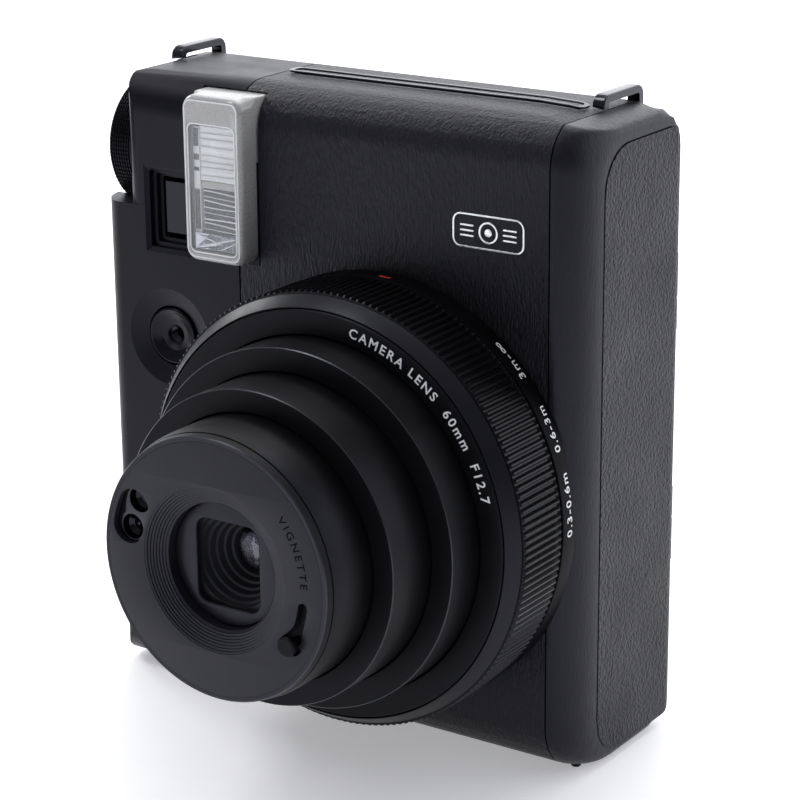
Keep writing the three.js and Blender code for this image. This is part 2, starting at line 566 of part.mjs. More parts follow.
// ---- dials and buttons --------------------------------------------------------------------------
function dialDisc(r, x0, x1, bore) {
  const profile = [[bore, x0], [r - 0.5, x0], [r, x0 + 0.5], [r, x1 - 0.3], [r - 0.3, x1], [bore, x1], [bore, x0]];
  const points = profile.map(([radius, x]) => new THREE.Vector2(radius, x));
  const turn = new THREE.Matrix4().set(0, 1, 0, 0, 1, 0, 0, DIAL.y, 0, 0, -1, DIAL.z, 0, 0, 0, 1);
  return solid(new THREE.LatheGeometry(points, 36).applyMatrix4(turn));
}
const effectDial = () => cut(dialDisc(DIAL.r, DIAL.x0 + 0.4, DIAL.x1, 1.9),
  barX(8.3, DIAL.x0 - 1, DIAL.x0 + 2.2, DIAL.y, DIAL.z, 36));
const brightnessDial = () => dialDisc(8, DIAL.x0, DIAL.x0 + 1.9, 1.3);
const dialAxle = () => join(
  barX(1, DIAL.x0 + 0.3, DIAL.x1 + 4.6, DIAL.y, DIAL.z, 16),
  barX(3, DIAL.x1 + 3.3, DIAL.x1 + 4.5, DIAL.y, DIAL.z, 16));

const screenWindow = () => prismY(roundedBox(-46.3, -30.7, 66.5, 78.5, 1), BACK - 1, BACK - 0.1);
const rearButton = (z) => join(
  barY(3.1, BACK - 2, BACK + 0.5, -38.5, z, 20),
  barY(4, BACK - 4, BACK - 2.9, -38.5, z, 20),
  barY(2, BACK - 3.2, BACK - 1.8, -38.5, z, 16));

// ---- power and electronics ----------------------------------------------------------------------
function batteryDoor() {
  const { x0, x1, y0, y1, thick } = BATTERY_DOOR;
  return prismZ(roundedBox(x0, x1, y0, y1, 0.8), 0, thick);
}
const battery = () => prismZ(roundedBox(-46.5, -28, -8.6, 2.4, 2), 2.6, 44);
const circuitBoard = () => box(-47.5, -25.5, 7, 8.2, 8, 82);
const flashCapacitor = () => barZ(5.6, 47, 79, -29.8, 0.6, 24);

// ---- fittings --------------------------------------------------------------------------------------
function strapLug(side) {
  const x = side * 45.3;
  const outline = roundedBox(-2.9, 11, HEIGHT - 5.2, HEIGHT + 1.8, [[0.5, 0.5], [0.5, 0.5], [2, 2], [2, 2]]);
  const loop = prismX(outline, x - 1.2, x + 1.2, 0.3);
  const eye = prismX(roundedBox(-1.3, 9.4, HEIGHT - 6, HEIGHT + 0.4, 0.6), x - 3, x + 3);
  return cut(loop, eye, OUTER.translate([0, 0, GAP]));
}
function slotRim() {
  const outline = prismZ(roundedBox(-17.2, 44.2, -6.4, -2.6, 1.4), HEIGHT - 3, HEIGHT + 3);
  const slot = prismZ(roundedBox(SLOT.x0, SLOT.x1, SLOT.y0, SLOT.y1, 0.8), HEIGHT - 4, HEIGHT + 4);
  return cut(outline.intersect(OUTER.translate([0, 0, 0.7])), slot, OUTER.translate([0, 0, GAP]));
}
function tripodSocket() {
  const { x, y, outer, hole, depth } = TRIPOD;
  return barZ(outer, 0, depth, x, y, 24).subtract(barZ(hole, -1, depth - 1, x, y, 20));
}
const caseScrew = ([x, y]) => barZ(1.3, 0.4, 3.4, x, y, 12);

// ---- assembly -----------------------------------------------------------------------------------
const camera = new THREE.Group();
function add(name, body, look) {
  const mesh = new THREE.Mesh(geometryOf(body), look);
  mesh.name = name;
  camera.add(mesh);
}

add('grip_cover', gripCover(), shellPlastic());
add('centre_cover', centreCover(), leather());
add('side_cover', sideCover(), shellPlastic());
add('side_panel', sidePanel(), leather());
add('rear_cover', rearCover(), shellPlastic());
add('film_door', filmDoor(), shellPlastic());
add('door_window', doorWindow(), glass());
add('door_hinge_pin', doorHingePin(), steel());
add('pressure_springs', pressureSprings(), steel());
add('door_latch', doorLatch(), glossBlack());
add('chassis', chassis(), innerPlastic());
add('roller_frame', rollerFrame(), steel());
add('eject_roller_front', ejectRoller(ROLLER.front), steel());
add('eject_roller_rear', ejectRoller(ROLLER.rear), steel());
add('drive_motor', driveMotor(), steel());
add('motor_pinion', motorPinion(), brass());
add('lens_base', lensBase(), innerPlastic());
add('scale_band', scaleBand(), barrelPlastic());
add('focus_ring', focusRing(), barrelPlastic());
add('nameplate_ring', nameplateRing(), barrelPlastic());
add('rear_barrel', rearBarrel(), barrelPlastic());
add('middle_barrel', middleBarrel(), barrelPlastic());
add('front_barrel', frontBarrel(), barrelPlastic());
add('front_cap', frontCap(), barrelPlastic());
add('sensor_windows', sensorWindows(), glossBlack());
add('vignette_lever', vignetteLever(), glossBlack());
add('lens_cell', lensCell(), innerPlastic());
add('front_lens', frontLens(), glass());
add('rear_lens', rearLens(), glass());
add('shutter_blade_left', shutterBlade(-1), steel());
add('shutter_blade_right', shutterBlade(1), steel());
add('flash_window', flashWindow(), glass());
add('flash_reflector', flashReflector(), steel());
add('flash_tube', flashTube(), glass());
add('flash_sensor_block', flashSensorBlock(), innerPlastic());
add('finder_frame', finderFrame(), glossBlack());
add('finder_front_lens', finderFrontLens(), glass(0x9fb0bd));
add('finder_tube', finderTube(), innerPlastic());
add('finder_rear_lens', finderRearLens(), glass());
add('eyepiece_frame', eyepieceFrame(), rubber());
add('shutter_button', shutterButton(), glossBlack());
add('shutter_spring', shutterSpring(), steel());
add('effect_dial', effectDial(), shellPlastic());
add('brightness_dial', brightnessDial(), glossBlack());
add('dial_axle', dialAxle(), steel());
add('screen_window', screenWindow(), glossBlack());
REAR_BUTTONS.forEach(([name, z]) => add(name, rearButton(z), glossBlack()));
add('battery_door', batteryDoor(), shellPlastic());
add('battery', battery(), innerPlastic());
add('circuit_board', circuitBoard(), material(0x1f5a36, 0.6));
add('flash_capacitor', flashCapacitor(), glossBlack());
add('strap_lug_left', strapLug(-1), glossBlack());
add('strap_lug_right', strapLug(1), glossBlack());
add('slot_rim', slotRim(), glossBlack());
add('tripod_socket', tripodSocket(), steel());
screwPlaces().forEach((place, i) => add(`case_screw_${i + 1}`, caseScrew(place), steel()));

export default camera;
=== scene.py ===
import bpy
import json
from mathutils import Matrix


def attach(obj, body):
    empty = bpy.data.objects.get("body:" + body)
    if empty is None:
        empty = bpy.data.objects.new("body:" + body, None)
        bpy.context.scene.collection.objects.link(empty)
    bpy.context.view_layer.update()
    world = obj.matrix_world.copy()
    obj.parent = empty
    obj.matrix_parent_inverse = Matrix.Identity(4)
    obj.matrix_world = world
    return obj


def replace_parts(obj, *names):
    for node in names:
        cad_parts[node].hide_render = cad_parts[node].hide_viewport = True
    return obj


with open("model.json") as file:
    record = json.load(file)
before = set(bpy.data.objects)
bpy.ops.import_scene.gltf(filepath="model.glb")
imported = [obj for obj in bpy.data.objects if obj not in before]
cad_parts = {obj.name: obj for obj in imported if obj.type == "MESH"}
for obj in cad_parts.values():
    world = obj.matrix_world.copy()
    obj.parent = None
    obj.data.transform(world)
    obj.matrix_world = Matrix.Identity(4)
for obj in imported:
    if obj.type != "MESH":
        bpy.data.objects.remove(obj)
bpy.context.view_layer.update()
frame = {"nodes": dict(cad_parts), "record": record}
import json
import math
import bpy
import bmesh
from mathutils import Matrix, Vector

# An instant camera: fine pieces and materials round the CAD frame.
# Lengths are in millimetres and are turned to metres where a mesh is made. The materials, the floor
# and the lamps are in metres. +X is to the right, the lens looks along -Y and +Z is up.
# A clock angle is in degrees, from the top of the lens towards +X.
MM = 0.001

# ---- driving dimensions ----
FRONT, BACK, HALF, HEIGHT = -20.0, 17.7, 51.75, 117.5
LENS_X, LENS_Z = 12.8, 48.8
LENS_BORE = 35.7
BAND_R, BAND_REAR, BAND_FRONT = 39.15, -20.3, -24.35
RING_R, RING_REAR, RING_FRONT = 39.3, -24.55, -36.7
RIBS, RIB_DEPTH = 184, 0.62
NAME_REAR, NAME_FRONT = -37.5, -39.55
BARREL_LENGTH, BARREL_WALL = 17.3, 1.5
REAR_BARREL = {"r": 32.0, "hole": 27.85, "front": -47.5}
MIDDLE_BARREL = {"r": 27.6, "hole": 23.65, "front": -58.2}
CAP_R, CAP_FRONT = 23.4, -69.8
DISH_R = 14.35
SENSOR_ARC = 18.1
LEVER_START, LEVER_END = 98.6, 121.0
BUTTON_X, BUTTON_Z, BUTTON_R = -35.3, 68.6, 5.35
BUTTON_DISH_R, BUTTON_DISH_FOOT, BUTTON_DISH_DEPTH = 9.28, 5.75, 1.25
DIAL_Y, DIAL_Z, DIAL_R = -5.0, 102.0, 12.3
DIAL_OUTER, DIAL_INNER = -50.8, -45.2
FLASH, FLASH_FRONT = (-27.6, -14.3, 85.5, 115.7), -24.2
LAMP = (-25.95, -16.1, 87.5, 110.4)
FINDER = (-39.98, -28.32, 84.62, 100.58)
BADGE = (27.2, 41.4, 94.6, 100.6)
COVER_SEAM, COVER_REAR = 46.35, 16.45


# ---- materials ----
def shader(name, color, roughness, metallic=0.0, **sockets):
    """A new node material with one Principled shader, and what is needed to wire it."""
    mat = bpy.data.materials.new(name)
    mat.use_nodes = True
    nodes, links = mat.node_tree.nodes, mat.node_tree.links
    bsdf = nodes["Principled BSDF"]
    bsdf.inputs["Base Color"].default_value = (*color, 1)
    bsdf.inputs["Roughness"].default_value = roughness
    bsdf.inputs["Metallic"].default_value = metallic
    for socket, value in sockets.items():
        bsdf.inputs[socket.replace("_", " ")].default_value = value
    if max(color) < 0.02:
        bsdf.inputs["Specular Tint"].default_value = (0.84, 0.86, 1.0, 1)
    return mat, nodes, links, bsdf


def place(nodes, links, stretch=(1, 1, 1)):
    """Object coordinates, stretched."""
    coords = nodes.new("ShaderNodeTexCoord")
    mapping = nodes.new("ShaderNodeMapping")
    mapping.inputs["Scale"].default_value = stretch
    links.new(coords.outputs["Object"], mapping.inputs["Vector"])
    return mapping.outputs["Vector"]


def noise(nodes, links, vector, scale, detail=4.0, rough=0.55):
    node = nodes.new("ShaderNodeTexNoise")
    node.inputs["Scale"].default_value = scale
    node.inputs["Detail"].default_value = detail
    node.inputs["Roughness"].default_value = rough
    links.new(vector, node.inputs["Vector"])
    return node.outputs["Fac"]


def ranged(nodes, links, value, low, high, from_low=0.3, from_high=0.7):
    node = nodes.new("ShaderNodeMapRange")
    node.inputs["From Min"].default_value = from_low
    node.inputs["From Max"].default_value = from_high
    node.inputs["To Min"].default_value = low
    node.inputs["To Max"].default_value = high
    links.new(value, node.inputs["Value"])
    return node.outputs["Result"]


def tinted(nodes, links, value, dark, light):
    node = nodes.new("ShaderNodeMix")
    node.data_type = "RGBA"
    node.inputs["A"].default_value = (*dark, 1)
    node.inputs["B"].default_value = (*light, 1)
    links.new(value, node.inputs["Factor"])
    return node.outputs["Result"]


def bumped(nodes, links, bsdf, layers):
    """Bump from (height, distance) layers, each laid over the last."""
    normal = None
    for height, distance in layers:
        node = nodes.new("ShaderNodeBump")
        node.inputs["Strength"].default_value = 1.0
        node.inputs["Distance"].default_value = distance
        links.new(height, node.inputs["Height"])
        if normal is not None:
            links.new(normal, node.inputs["Normal"])
        normal = node.outputs["Normal"]
    links.new(normal, bsdf.inputs["Normal"])


def shade(color, factor, lift=0.0):
    return tuple(c * factor + lift for c in color)


def plastic(name, color, roughness, grain, depth, specular, spread=0.06):
    """Moulded plastic: fine grain, slow change of colour and of gloss."""
    mat, nodes, links, bsdf = shader(name, color, roughness, Specular_IOR_Level=specular)
    plain = place(nodes, links)
    fine = noise(nodes, links, plain, grain, 3.0)
    slow = noise(nodes, links, plain, 90.0, 5.0)
    tint = tinted(nodes, links, slow, shade(color, 0.8), shade(color, 1.25, 0.001))
    gloss = ranged(nodes, links, slow, roughness - spread, roughness + spread)
    links.new(tint, bsdf.inputs["Base Color"])
    links.new(gloss, bsdf.inputs["Roughness"])
    bumped(nodes, links, bsdf, [(fine, depth)])
    return mat


def pebbled(name, color, roughness):
    """Coarse leatherette: wandering ridges between shallow pits, with painted shade in the pits and painted
    light on the ridges.
    """
    mat, nodes, links, bsdf = shader(name, color, roughness, Specular_IOR_Level=0.3)
    plain = place(nodes, links)
    warp = nodes.new("ShaderNodeTexNoise")
    warp.inputs["Scale"].default_value = 700.0
    warp.inputs["Detail"].default_value = 2.0
    links.new(plain, warp.inputs["Vector"])
    shifted = nodes.new("ShaderNodeVectorMath")
    shifted.operation = "MULTIPLY_ADD"
    links.new(warp.outputs["Color"], shifted.inputs[0])
    shifted.inputs[1].default_value = (0.0009, 0.0009, 0.0009)
    links.new(plain, shifted.inputs[2])
    cells = nodes.new("ShaderNodeTexVoronoi")
    cells.feature = "SMOOTH_F1"
    cells.inputs["Scale"].default_value = 1450.0
    cells.inputs["Smoothness"].default_value = 0.6
    links.new(shifted.outputs["Vector"], cells.inputs["Vector"])
    ridges = noise(nodes, links, plain, 1300.0, 3.0, 0.6)
    fine = noise(nodes, links, plain, 5200.0, 3.0)
    slow = noise(nodes, links, plain, 60.0, 4.0)
    height = nodes.new("ShaderNodeMath")
    height.operation = "MULTIPLY_ADD"
    links.new(cells.outputs["Distance"], height.inputs[0])
    height.inputs[1].default_value = -0.6
    links.new(ridges, height.inputs[2])
    # Painted shade and light: the colour follows the bump height, darker in the pits and lighter on the
    # ridges.
    painted_relief_shade = ranged(nodes, links, height.outputs["Value"], 0, 1, 0.0, 0.6)
    tint = tinted(nodes, links, painted_relief_shade, shade(color, 0.7), shade(color, 1.3))
    gloss = ranged(nodes, links, slow, roughness - 0.06, roughness + 0.06)
    links.new(tint, bsdf.inputs["Base Color"])
    links.new(gloss, bsdf.inputs["Roughness"])
    bumped(nodes, links, bsdf, [(fine, 0.00002), (height.outputs["Value"], 0.00042)])
    return mat


def streaked(name, color, roughness, depth):
    """Moulded plastic with short upright streaks, like combed hide."""
    mat, nodes, links, bsdf = shader(name, color, roughness, Specular_IOR_Level=0.28)
    along = place(nodes, links, (1, 1, 0.3))
    plain = place(nodes, links)
    streak = noise(nodes, links, along, 2300.0, 3.0, 0.6)
    broad = noise(nodes, links, along, 900.0, 2.0)
    fine = noise(nodes, links, plain, 6000.0, 2.0)
    slow = noise(nodes, links, plain, 70.0, 4.0)
    tint = tinted(nodes, links, slow, shade(color, 0.75), shade(color, 1.3, 0.001))
    gloss = ranged(nodes, links, streak, roughness - 0.08, roughness + 0.08)
    links.new(tint, bsdf.inputs["Base Color"])
    links.new(gloss, bsdf.inputs["Roughness"])
    bumped(nodes, links, bsdf, [(fine, depth * 0.1), (broad, depth * 0.7), (streak, depth)])
    return mat


def metal(name, color, roughness, stretch=(1, 1, 12)):
    """Metal with fine brushed lines. The stretch sets which way they run."""
    mat, nodes, links, bsdf = shader(name, color, roughness, metallic=1.0)
    lines = noise(nodes, links, place(nodes, links, stretch), 900.0, 4.0)
    links.new(ranged(nodes, links, lines, roughness - 0.08, roughness + 0.1), bsdf.inputs["Roughness"])
    bumped(nodes, links, bsdf, [(lines, 0.00001)])
    return mat


def clear(name, color, roughness, ior=1.45):
    """Clear glass or plastic with a faint ripple."""
    mat, nodes, links, bsdf = shader(name, color, roughness, IOR=ior, Transmission_Weight=1.0)
    ripple = noise(nodes, links, place(nodes, links), 700.0, 3.0)
    gloss = ranged(nodes, links, ripple, max(roughness - 0.02, 0.0), roughness + 0.03)
    links.new(gloss, bsdf.inputs["Roughness"])
    bumped(nodes, links, bsdf, [(ripple, 0.00001)])
    return mat


def pane(name):
    """A thin clear sheet: almost nothing but its gloss."""
    mat, nodes, links, bsdf = shader(name, (0.9, 0.92, 0.95), 0.06, Alpha=0.1)
    ripple = noise(nodes, links, place(nodes, links), 300.0, 2.0)
    links.new(ranged(nodes, links, ripple, 0.03, 0.12), bsdf.inputs["Roughness"])
    bumped(nodes, links, bsdf, [(ripple, 0.00002)])
    return mat


def frosted(name):
    """Milky moulded plastic: a little light goes through, and the colour is painted paler where the surface
    turns away from view, a painted highlight on thin edges.
    """
    mat, nodes, links, bsdf = shader(name, (0.42, 0.42, 0.41), 0.3, Transmission_Weight=0.3, IOR=1.4,
                                     Coat_Weight=0.7, Coat_Roughness=0.12)
    plain = place(nodes, links)
    cloud = noise(nodes, links, plain, 160.0, 4.0)
    fine = noise(nodes, links, plain, 5000.0, 2.0)
    painted_edge_glow = nodes.new("ShaderNodeLayerWeight")
    painted_edge_glow.inputs["Blend"].default_value = 0.25
    body = tinted(nodes, links, cloud, (0.4, 0.4, 0.4), (0.58, 0.58, 0.575))
    # Painted highlight: the base colour is mixed towards pale grey at grazing angles.
    edge = nodes.new("ShaderNodeMix")
    edge.data_type = "RGBA"
    edge.inputs["B"].default_value = (0.72, 0.72, 0.71, 1)
    links.new(body, edge.inputs["A"])
    links.new(painted_edge_glow.outputs["Facing"], edge.inputs["Factor"])
    links.new(edge.outputs["Result"], bsdf.inputs["Base Color"])
    links.new(ranged(nodes, links, fine, 0.24, 0.36), bsdf.inputs["Roughness"])
    bumped(nodes, links, bsdf, [(fine, 0.000008)])
    return mat


def paint(name, color, roughness=0.5):
    """Printed paint, a little worn in spots."""
    mat, nodes, links, bsdf = shader(name, color, roughness)
    spots = noise(nodes, links, place(nodes, links), 2500.0, 3.0)
    worn = ranged(nodes, links, spots, 0, 1, 0.35, 0.5)
    links.new(tinted(nodes, links, worn, shade(color, 0.86), color), bsdf.inputs["Base Color"])
    bumped(nodes, links, bsdf, [(spots, 0.00001)])
    return mat


SHELL_BLACK = (0.004, 0.004, 0.0055)
LENS_BLACK = (0.0036, 0.0036, 0.0044)
LENS_GRAIN = 5200.0
# colour, roughness, grain scale, grain depth, specular level and, where it isn't usual, change of gloss
PLASTICS = {
    "shell_plastic": (SHELL_BLACK, 0.38, 3800.0, 0.00002, 0.17),
    "barrel_plastic": (LENS_BLACK, 0.43, LENS_GRAIN, 0.000012, 0.12),
    "ring_plastic": (LENS_BLACK, 0.3, LENS_GRAIN, 0.00001, 0.14),
    # painted light: a lighter, bluer copy of the lens black for the ring's bevel, which faces up towards
    # the lamps
    "painted_light_bevel_plastic": ((0.005, 0.005, 0.0065), 0.36, LENS_GRAIN, 0.00001, 0.2),
    # painted highlight: a lighter grey for the thin chamfers on the tubes' front edges, standing in for the
    # light they catch
    "painted_highlight_plastic": ((0.012, 0.012, 0.015), 0.3, LENS_GRAIN, 0.00001, 0.5),
    "band_plastic": ((0.002, 0.002, 0.0026), 0.5, LENS_GRAIN, 0.00001, 0.05),
    "cap_plastic": ((0.0075, 0.0075, 0.01), 0.42, LENS_GRAIN, 0.000014, 0.32),
    "button_plastic": ((0.003, 0.003, 0.004), 0.22, 2500.0, 0.000006, 0.2),
    "gloss_black": ((0.004, 0.004, 0.005), 0.16, 1500.0, 0.000004, 0.5, 0.04),
    "inner_plastic": ((0.012, 0.012, 0.014), 0.6, 3000.0, 0.00002, 0.4),
    "rubber": ((0.01, 0.01, 0.01), 0.7, 2500.0, 0.00003, 0.4),
    "board_green": ((0.02, 0.1, 0.05), 0.4, 900.0, 0.00003, 0.4),
    "battery_wrap": ((0.05, 0.055, 0.08), 0.3, 900.0, 0.00001, 0.4),
    # white for the lamp lens and lining, also used for painted highlights on the flash's beads, lower-lens
    # ribs and prism edges
    "lamp_white": ((0.78, 0.79, 0.82), 0.25, 1500.0, 0.00001, 0.4),
    "lamp_cream": ((0.42, 0.42, 0.4), 0.3, 1500.0, 0.00001, 0.4),
    "lamp_dark": ((0.075, 0.085, 0.1), 0.2, 1500.0, 0.00001, 0.4),
    # painted shade: near-black matte for the sunk lettering, drawn almost flat, standing in for the shade
    # in its strokes
    "sunk_letter_shade": ((0.0012, 0.0012, 0.0015), 0.7, 3000.0, 0.00001, 0.05),
    # near-black glossy glass: the sensors' own dark glass, and painted shade on the finder's front lens,
    # which looks dark from the shade inside the finder
    "dark_glass_and_shade": ((0.002, 0.002, 0.003), 0.08, 500.0, 0.000002, 0.3, 0.02),
}
LOOKS = {name: plastic(f"{name}_look", *values) for name, values in PLASTICS.items()}
LOOKS.update({
    "textured_plastic": streaked("textured_plastic_look", SHELL_BLACK, 0.42, 0.00034),
    "side_plastic": streaked("side_plastic_look", SHELL_BLACK, 0.38, 0.00006),
    "leatherette": pebbled("leatherette_look", (0.006, 0.006, 0.008), 0.46),
    "steel": metal("steel_look", (0.6, 0.6, 0.62), 0.3),
    "dark_steel": metal("dark_steel_look", (0.03, 0.03, 0.032), 0.4),
    "brass": metal("brass_look", (0.69, 0.55, 0.29), 0.3),
    "silver_paint": metal("silver_paint_look", (0.75, 0.76, 0.78), 0.28),
    "lamp_facet": metal("lamp_facet_look", (0.5, 0.52, 0.56), 0.22, (1, 1, 1)),
    "clear_plastic": clear("clear_plastic_look", (0.96, 0.97, 0.98), 0.03),
    "coated_glass": clear("coated_glass_look", (0.5, 0.5, 0.54), 0.01, 1.6),
    "frosted_plastic": frosted("frosted_plastic_look"),
    "thin_pane": pane("thin_pane_look"),
    "white_paint": paint("white_paint_look", (0.82, 0.83, 0.85)),
    "red_paint": paint("red_paint_look", (0.5, 0.03, 0.02)),
})


# ---- mesh helpers ----
def finish_mesh(name, mesh, look, body, slot, angle=32.0, smooth=True):
    """Makes a piece of a mesh: its look, its body and smooth faces up to an angle. The slot is not used."""
    obj = bpy.data.objects.new(name, mesh)
    bpy.context.scene.collection.objects.link(obj)
    if smooth:
        mesh.shade_smooth()
        mesh.set_sharp_from_angle(angle=math.radians(angle))
    mesh.materials.clear()
    mesh.materials.append(LOOKS[look])
    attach(obj, body)
    return obj


def clean(mesh, merge=1e-7):
    """Joins points closer than merge, in metres, and turns every face outwards."""
    bm = bmesh.new()
    bm.from_mesh(mesh)
    bmesh.ops.remove_doubles(bm, verts=bm.verts, dist=merge)
    bmesh.ops.recalc_face_normals(bm, faces=bm.faces)
    bm.to_mesh(mesh)
    bm.free()


def mesh_of(name, points, faces):
    mesh = bpy.data.meshes.new(name)
    mesh.from_pydata([tuple(c * MM for c in p) for p in points], [], faces)
    clean(mesh)
    return mesh


def mesh_of_curve(name, curve):
    temp = bpy.data.objects.new(name + "_line", curve)
    bpy.context.scene.collection.objects.link(temp)
    bpy.context.view_layer.update()
    graph = bpy.context.evaluated_depsgraph_get()
    mesh = bpy.data.meshes.new_from_object(temp.evaluated_get(graph))
    bpy.data.objects.remove(temp)
    return mesh


def ring_faces(loops, count):
    """Faces from each loop of points to the next, and from the last to the first."""
    faces = []
    for k in range(loops):
        m = (k + 1) % loops
        for i in range(count):
            j = (i + 1) % count
            faces.append((k * count + i, k * count + j, m * count + j, m * count + i))
    return faces


def rounded(profile, radius):
    """A closed profile of (r, y) or (r, y, corner radius) points with its corners rounded."""
    out = []
    count, arc = len(profile), 4
    for i, here in enumerate(profile):
        point = Vector(here[:2])
        to_before = Vector(profile[i - 1][:2]) - point
        to_after = Vector(profile[(i + 1) % count][:2]) - point
        size = here[2] if len(here) > 2 else radius
        if to_before.length < 1e-6 or to_after.length < 1e-6 or size <= 0:
            out.append(tuple(point))
            continue
        turn = to_before.angle(to_after)
        reach = min(size / math.tan(turn / 2), to_before.length * 0.45, to_after.length * 0.45)
        if reach < 1e-4 or turn > 3.1:
            out.append(tuple(point))
            continue
        start = point + to_before.normalized() * reach
        end = point + to_after.normalized() * reach
        for k in range(arc + 1):
            t = k / arc
            out.append(tuple((1 - t) ** 2 * start + 2 * t * (1 - t) * point + t * t * end))
    return out


def turned(name, profile, steps, ripple, radius, spot):
    """The mesh of a closed (r, along) profile turned about a line.

    ripple(r, along, share of a turn) gives r, and spot(r, along, angle) gives (x, y, z)."""
    line = rounded(profile, radius)
    points = []
    for s in range(steps):
        a = 2 * math.pi * s / steps
        for r, along in line:
            points.append(spot(ripple(r, along, s / steps) if ripple else r, along, a))
    return mesh_of(name, points, ring_faces(steps, len(line)))


def lathe(name, profile, look, body, slot, steps=160, x=LENS_X, z=LENS_Z, ripple=None, angle=32.0,
          radius=0.12):
    """A closed (r, y) profile turned about a line along Y."""
    def spot(r, y, a):
        return x + r * math.sin(a), y, z + r * math.cos(a)
    mesh = turned(name, profile, steps, ripple, radius, spot)
    return finish_mesh(name, mesh, look, body, slot, angle)


def turned_x(name, profile, look, body, slot, steps, y, z, ripple, angle):
    """A closed (r, x) profile turned about a line along X."""
    def spot(r, x, a):
        return x, y + r * math.cos(a), z + r * math.sin(a)
    mesh = turned(name, profile, steps, ripple, 0.1, spot)
    return finish_mesh(name, mesh, look, body, slot, angle)


def loft(name, loops, look, body, slot, angle=40.0):
    """A closed ring of loops, each a list of (x, y, z) with the same number of points."""
    points = [p for loop in loops for p in loop]
    mesh = mesh_of(name, points, ring_faces(len(loops), len(loops[0])))
    return finish_mesh(name, mesh, look, body, slot, angle)


def flat_curve(name, loops, depth, bevel):
    """Flat outlines with holes, as a 2D curve in metres."""
    curve = bpy.data.curves.new(name, "CURVE")
    curve.dimensions = "2D"
    curve.fill_mode = "BOTH"
    curve.extrude = max(depth / 2 - bevel, 0.0) * MM
    curve.bevel_depth = bevel * MM
    curve.bevel_resolution = 2
    curve.offset = -bevel * MM
    for loop in loops:
        spline = curve.splines.new("POLY")
        spline.points.add(len(loop) - 1)
        for point, (u, v) in zip(spline.points, loop):
            point.co = (u * MM, v * MM, 0, 1)
        spline.use_cyclic_u = True
    return curve


def plate(name, loops, y, depth, look, body, slot, bevel):
    """A flat piece facing the front: (x, z) outlines with holes, front face at y, thickness depth."""
    mesh = mesh_of_curve(name, flat_curve(name, loops, depth, bevel))
    mesh.transform(Matrix(((1, 0, 0, 0), (0, 0, -1, (y + depth / 2) * MM), (0, 1, 0, 0), (0, 0, 0, 1))))
    clean(mesh, 1e-6)
    mesh.name = name
    return finish_mesh(name, mesh, look, body, slot)


def box_mesh(name, x0, x1, y0, y1, z0, z1, look, body, slot, bevel):
    """A box with rounded edges."""
    centre = Vector(((x0 + x1) / 2, (y0 + y1) / 2, (z0 + z1) / 2))
    mesh = bpy.data.meshes.new(name)
    bm = bmesh.new()
    bmesh.ops.create_cube(bm, size=1.0)
    for v in bm.verts:
        v.co = (centre + v.co * Vector((x1 - x0, y1 - y0, z1 - z0))) * MM
    bmesh.ops.bevel(bm, geom=bm.edges[:], offset=bevel * MM, segments=3, profile=0.5, affect="EDGES")
    bm.to_mesh(mesh)
    bm.free()
    return finish_mesh(name, mesh, look, body, slot)


def thicken(piece, thickness, offset=-1.0):
    solid = piece.modifiers.new("thickness", "SOLIDIFY")
    solid.thickness = thickness * MM
    solid.offset = offset


def circle(x, z, r, steps=96):
    turns = [2 * math.pi * i / steps for i in range(steps)]
    return [(x + r * math.cos(a), z + r * math.sin(a)) for a in turns]


def rectangle(x0, x1, z0, z1, r, steps=6):
    """A rectangle with round corners. Its point count doesn't depend on its radius."""
    out = []
    corners = ((x1 - r, z1 - r, 0), (x0 + r, z1 - r, 90), (x0 + r, z0 + r, 180), (x1 - r, z0 + r, 270))
    for cx, cz, start in corners:
        for i in range(steps + 1):
            a = math.radians(start + 90 * i / steps)
            out.append((cx + r * math.cos(a), cz + r * math.sin(a)))
    return out


def grown(box, by):
    """A flat box (x0, x1, z0, z1) with each side moved outwards."""
    x0, x1, z0, z1 = box
    return x0 - by, x1 + by, z0 - by, z1 + by


def on_face(r, clock):
    a = math.radians(clock)
    return LENS_X + r * math.sin(a), LENS_Z + r * math.cos(a)


def curved_slot(r, start, end, half, steps=14, swell=0.0):
    """The outline of a slot along an arc about the lens axis, widened by swell at its end."""
    def width(t):
        return half + swell * max(0.0, (t - 0.5) / 0.5) ** 1.5
    shares = [i / steps for i in range(steps + 1)]
    out = [on_face(r + width(t), start + (end - start) * t) for t in shares]
    for clock, turn, size in ((end, 0, half + swell), (start, math.pi, half)):
        cx, cz = on_face(r, clock)
        for i in range(1, 10):
            a = math.radians(clock) + turn + math.pi * i / 10
            out.append((cx + size * math.sin(a), cz + size * math.cos(a)))
        if turn == 0:
            out += [on_face(r - width(1 - t), end + (start - end) * t) for t in shares]
    return out


def letters(name, text, size, bend, look, body, slot, bold=0.012, spacing=1.08):
    """Raised lettering. bend(u, v, height, width) gives the place of a point of the flat text."""
    curve = bpy.data.curves.new(name, "FONT")
    curve.body = text
    curve.size = size
    curve.offset = bold * size
    curve.space_character = spacing
    curve.extrude = 0.03
    curve.resolution_u = 4
    mesh = mesh_of_curve(name, curve)
    width = max(v.co.x for v in mesh.vertices)
    for v in mesh.vertices:
        v.co = Vector(bend(v.co.x, v.co.y, v.co.z, width)) * MM
    clean(mesh)
    return finish_mesh(name, mesh, look, body, slot, smooth=False)


def on_band(r, y, start, end):
    """Wraps text round the band from clock angle start to end, letter tops towards the front."""
    def bend(u, v, h, width):
        x, z = on_face(r + 0.02 + h, start + (end - start) * u / width)
        return x, y - v, z
    return bend


def on_ring(r, y, start, end):
    """Lays text on a face towards the front, tops outwards, from clock angle start to end."""
    def bend(u, v, h, width):
        x, z = on_face(r + v, start + (end - start) * u / width)
        return x, y - 0.02 - h, z
    return bend


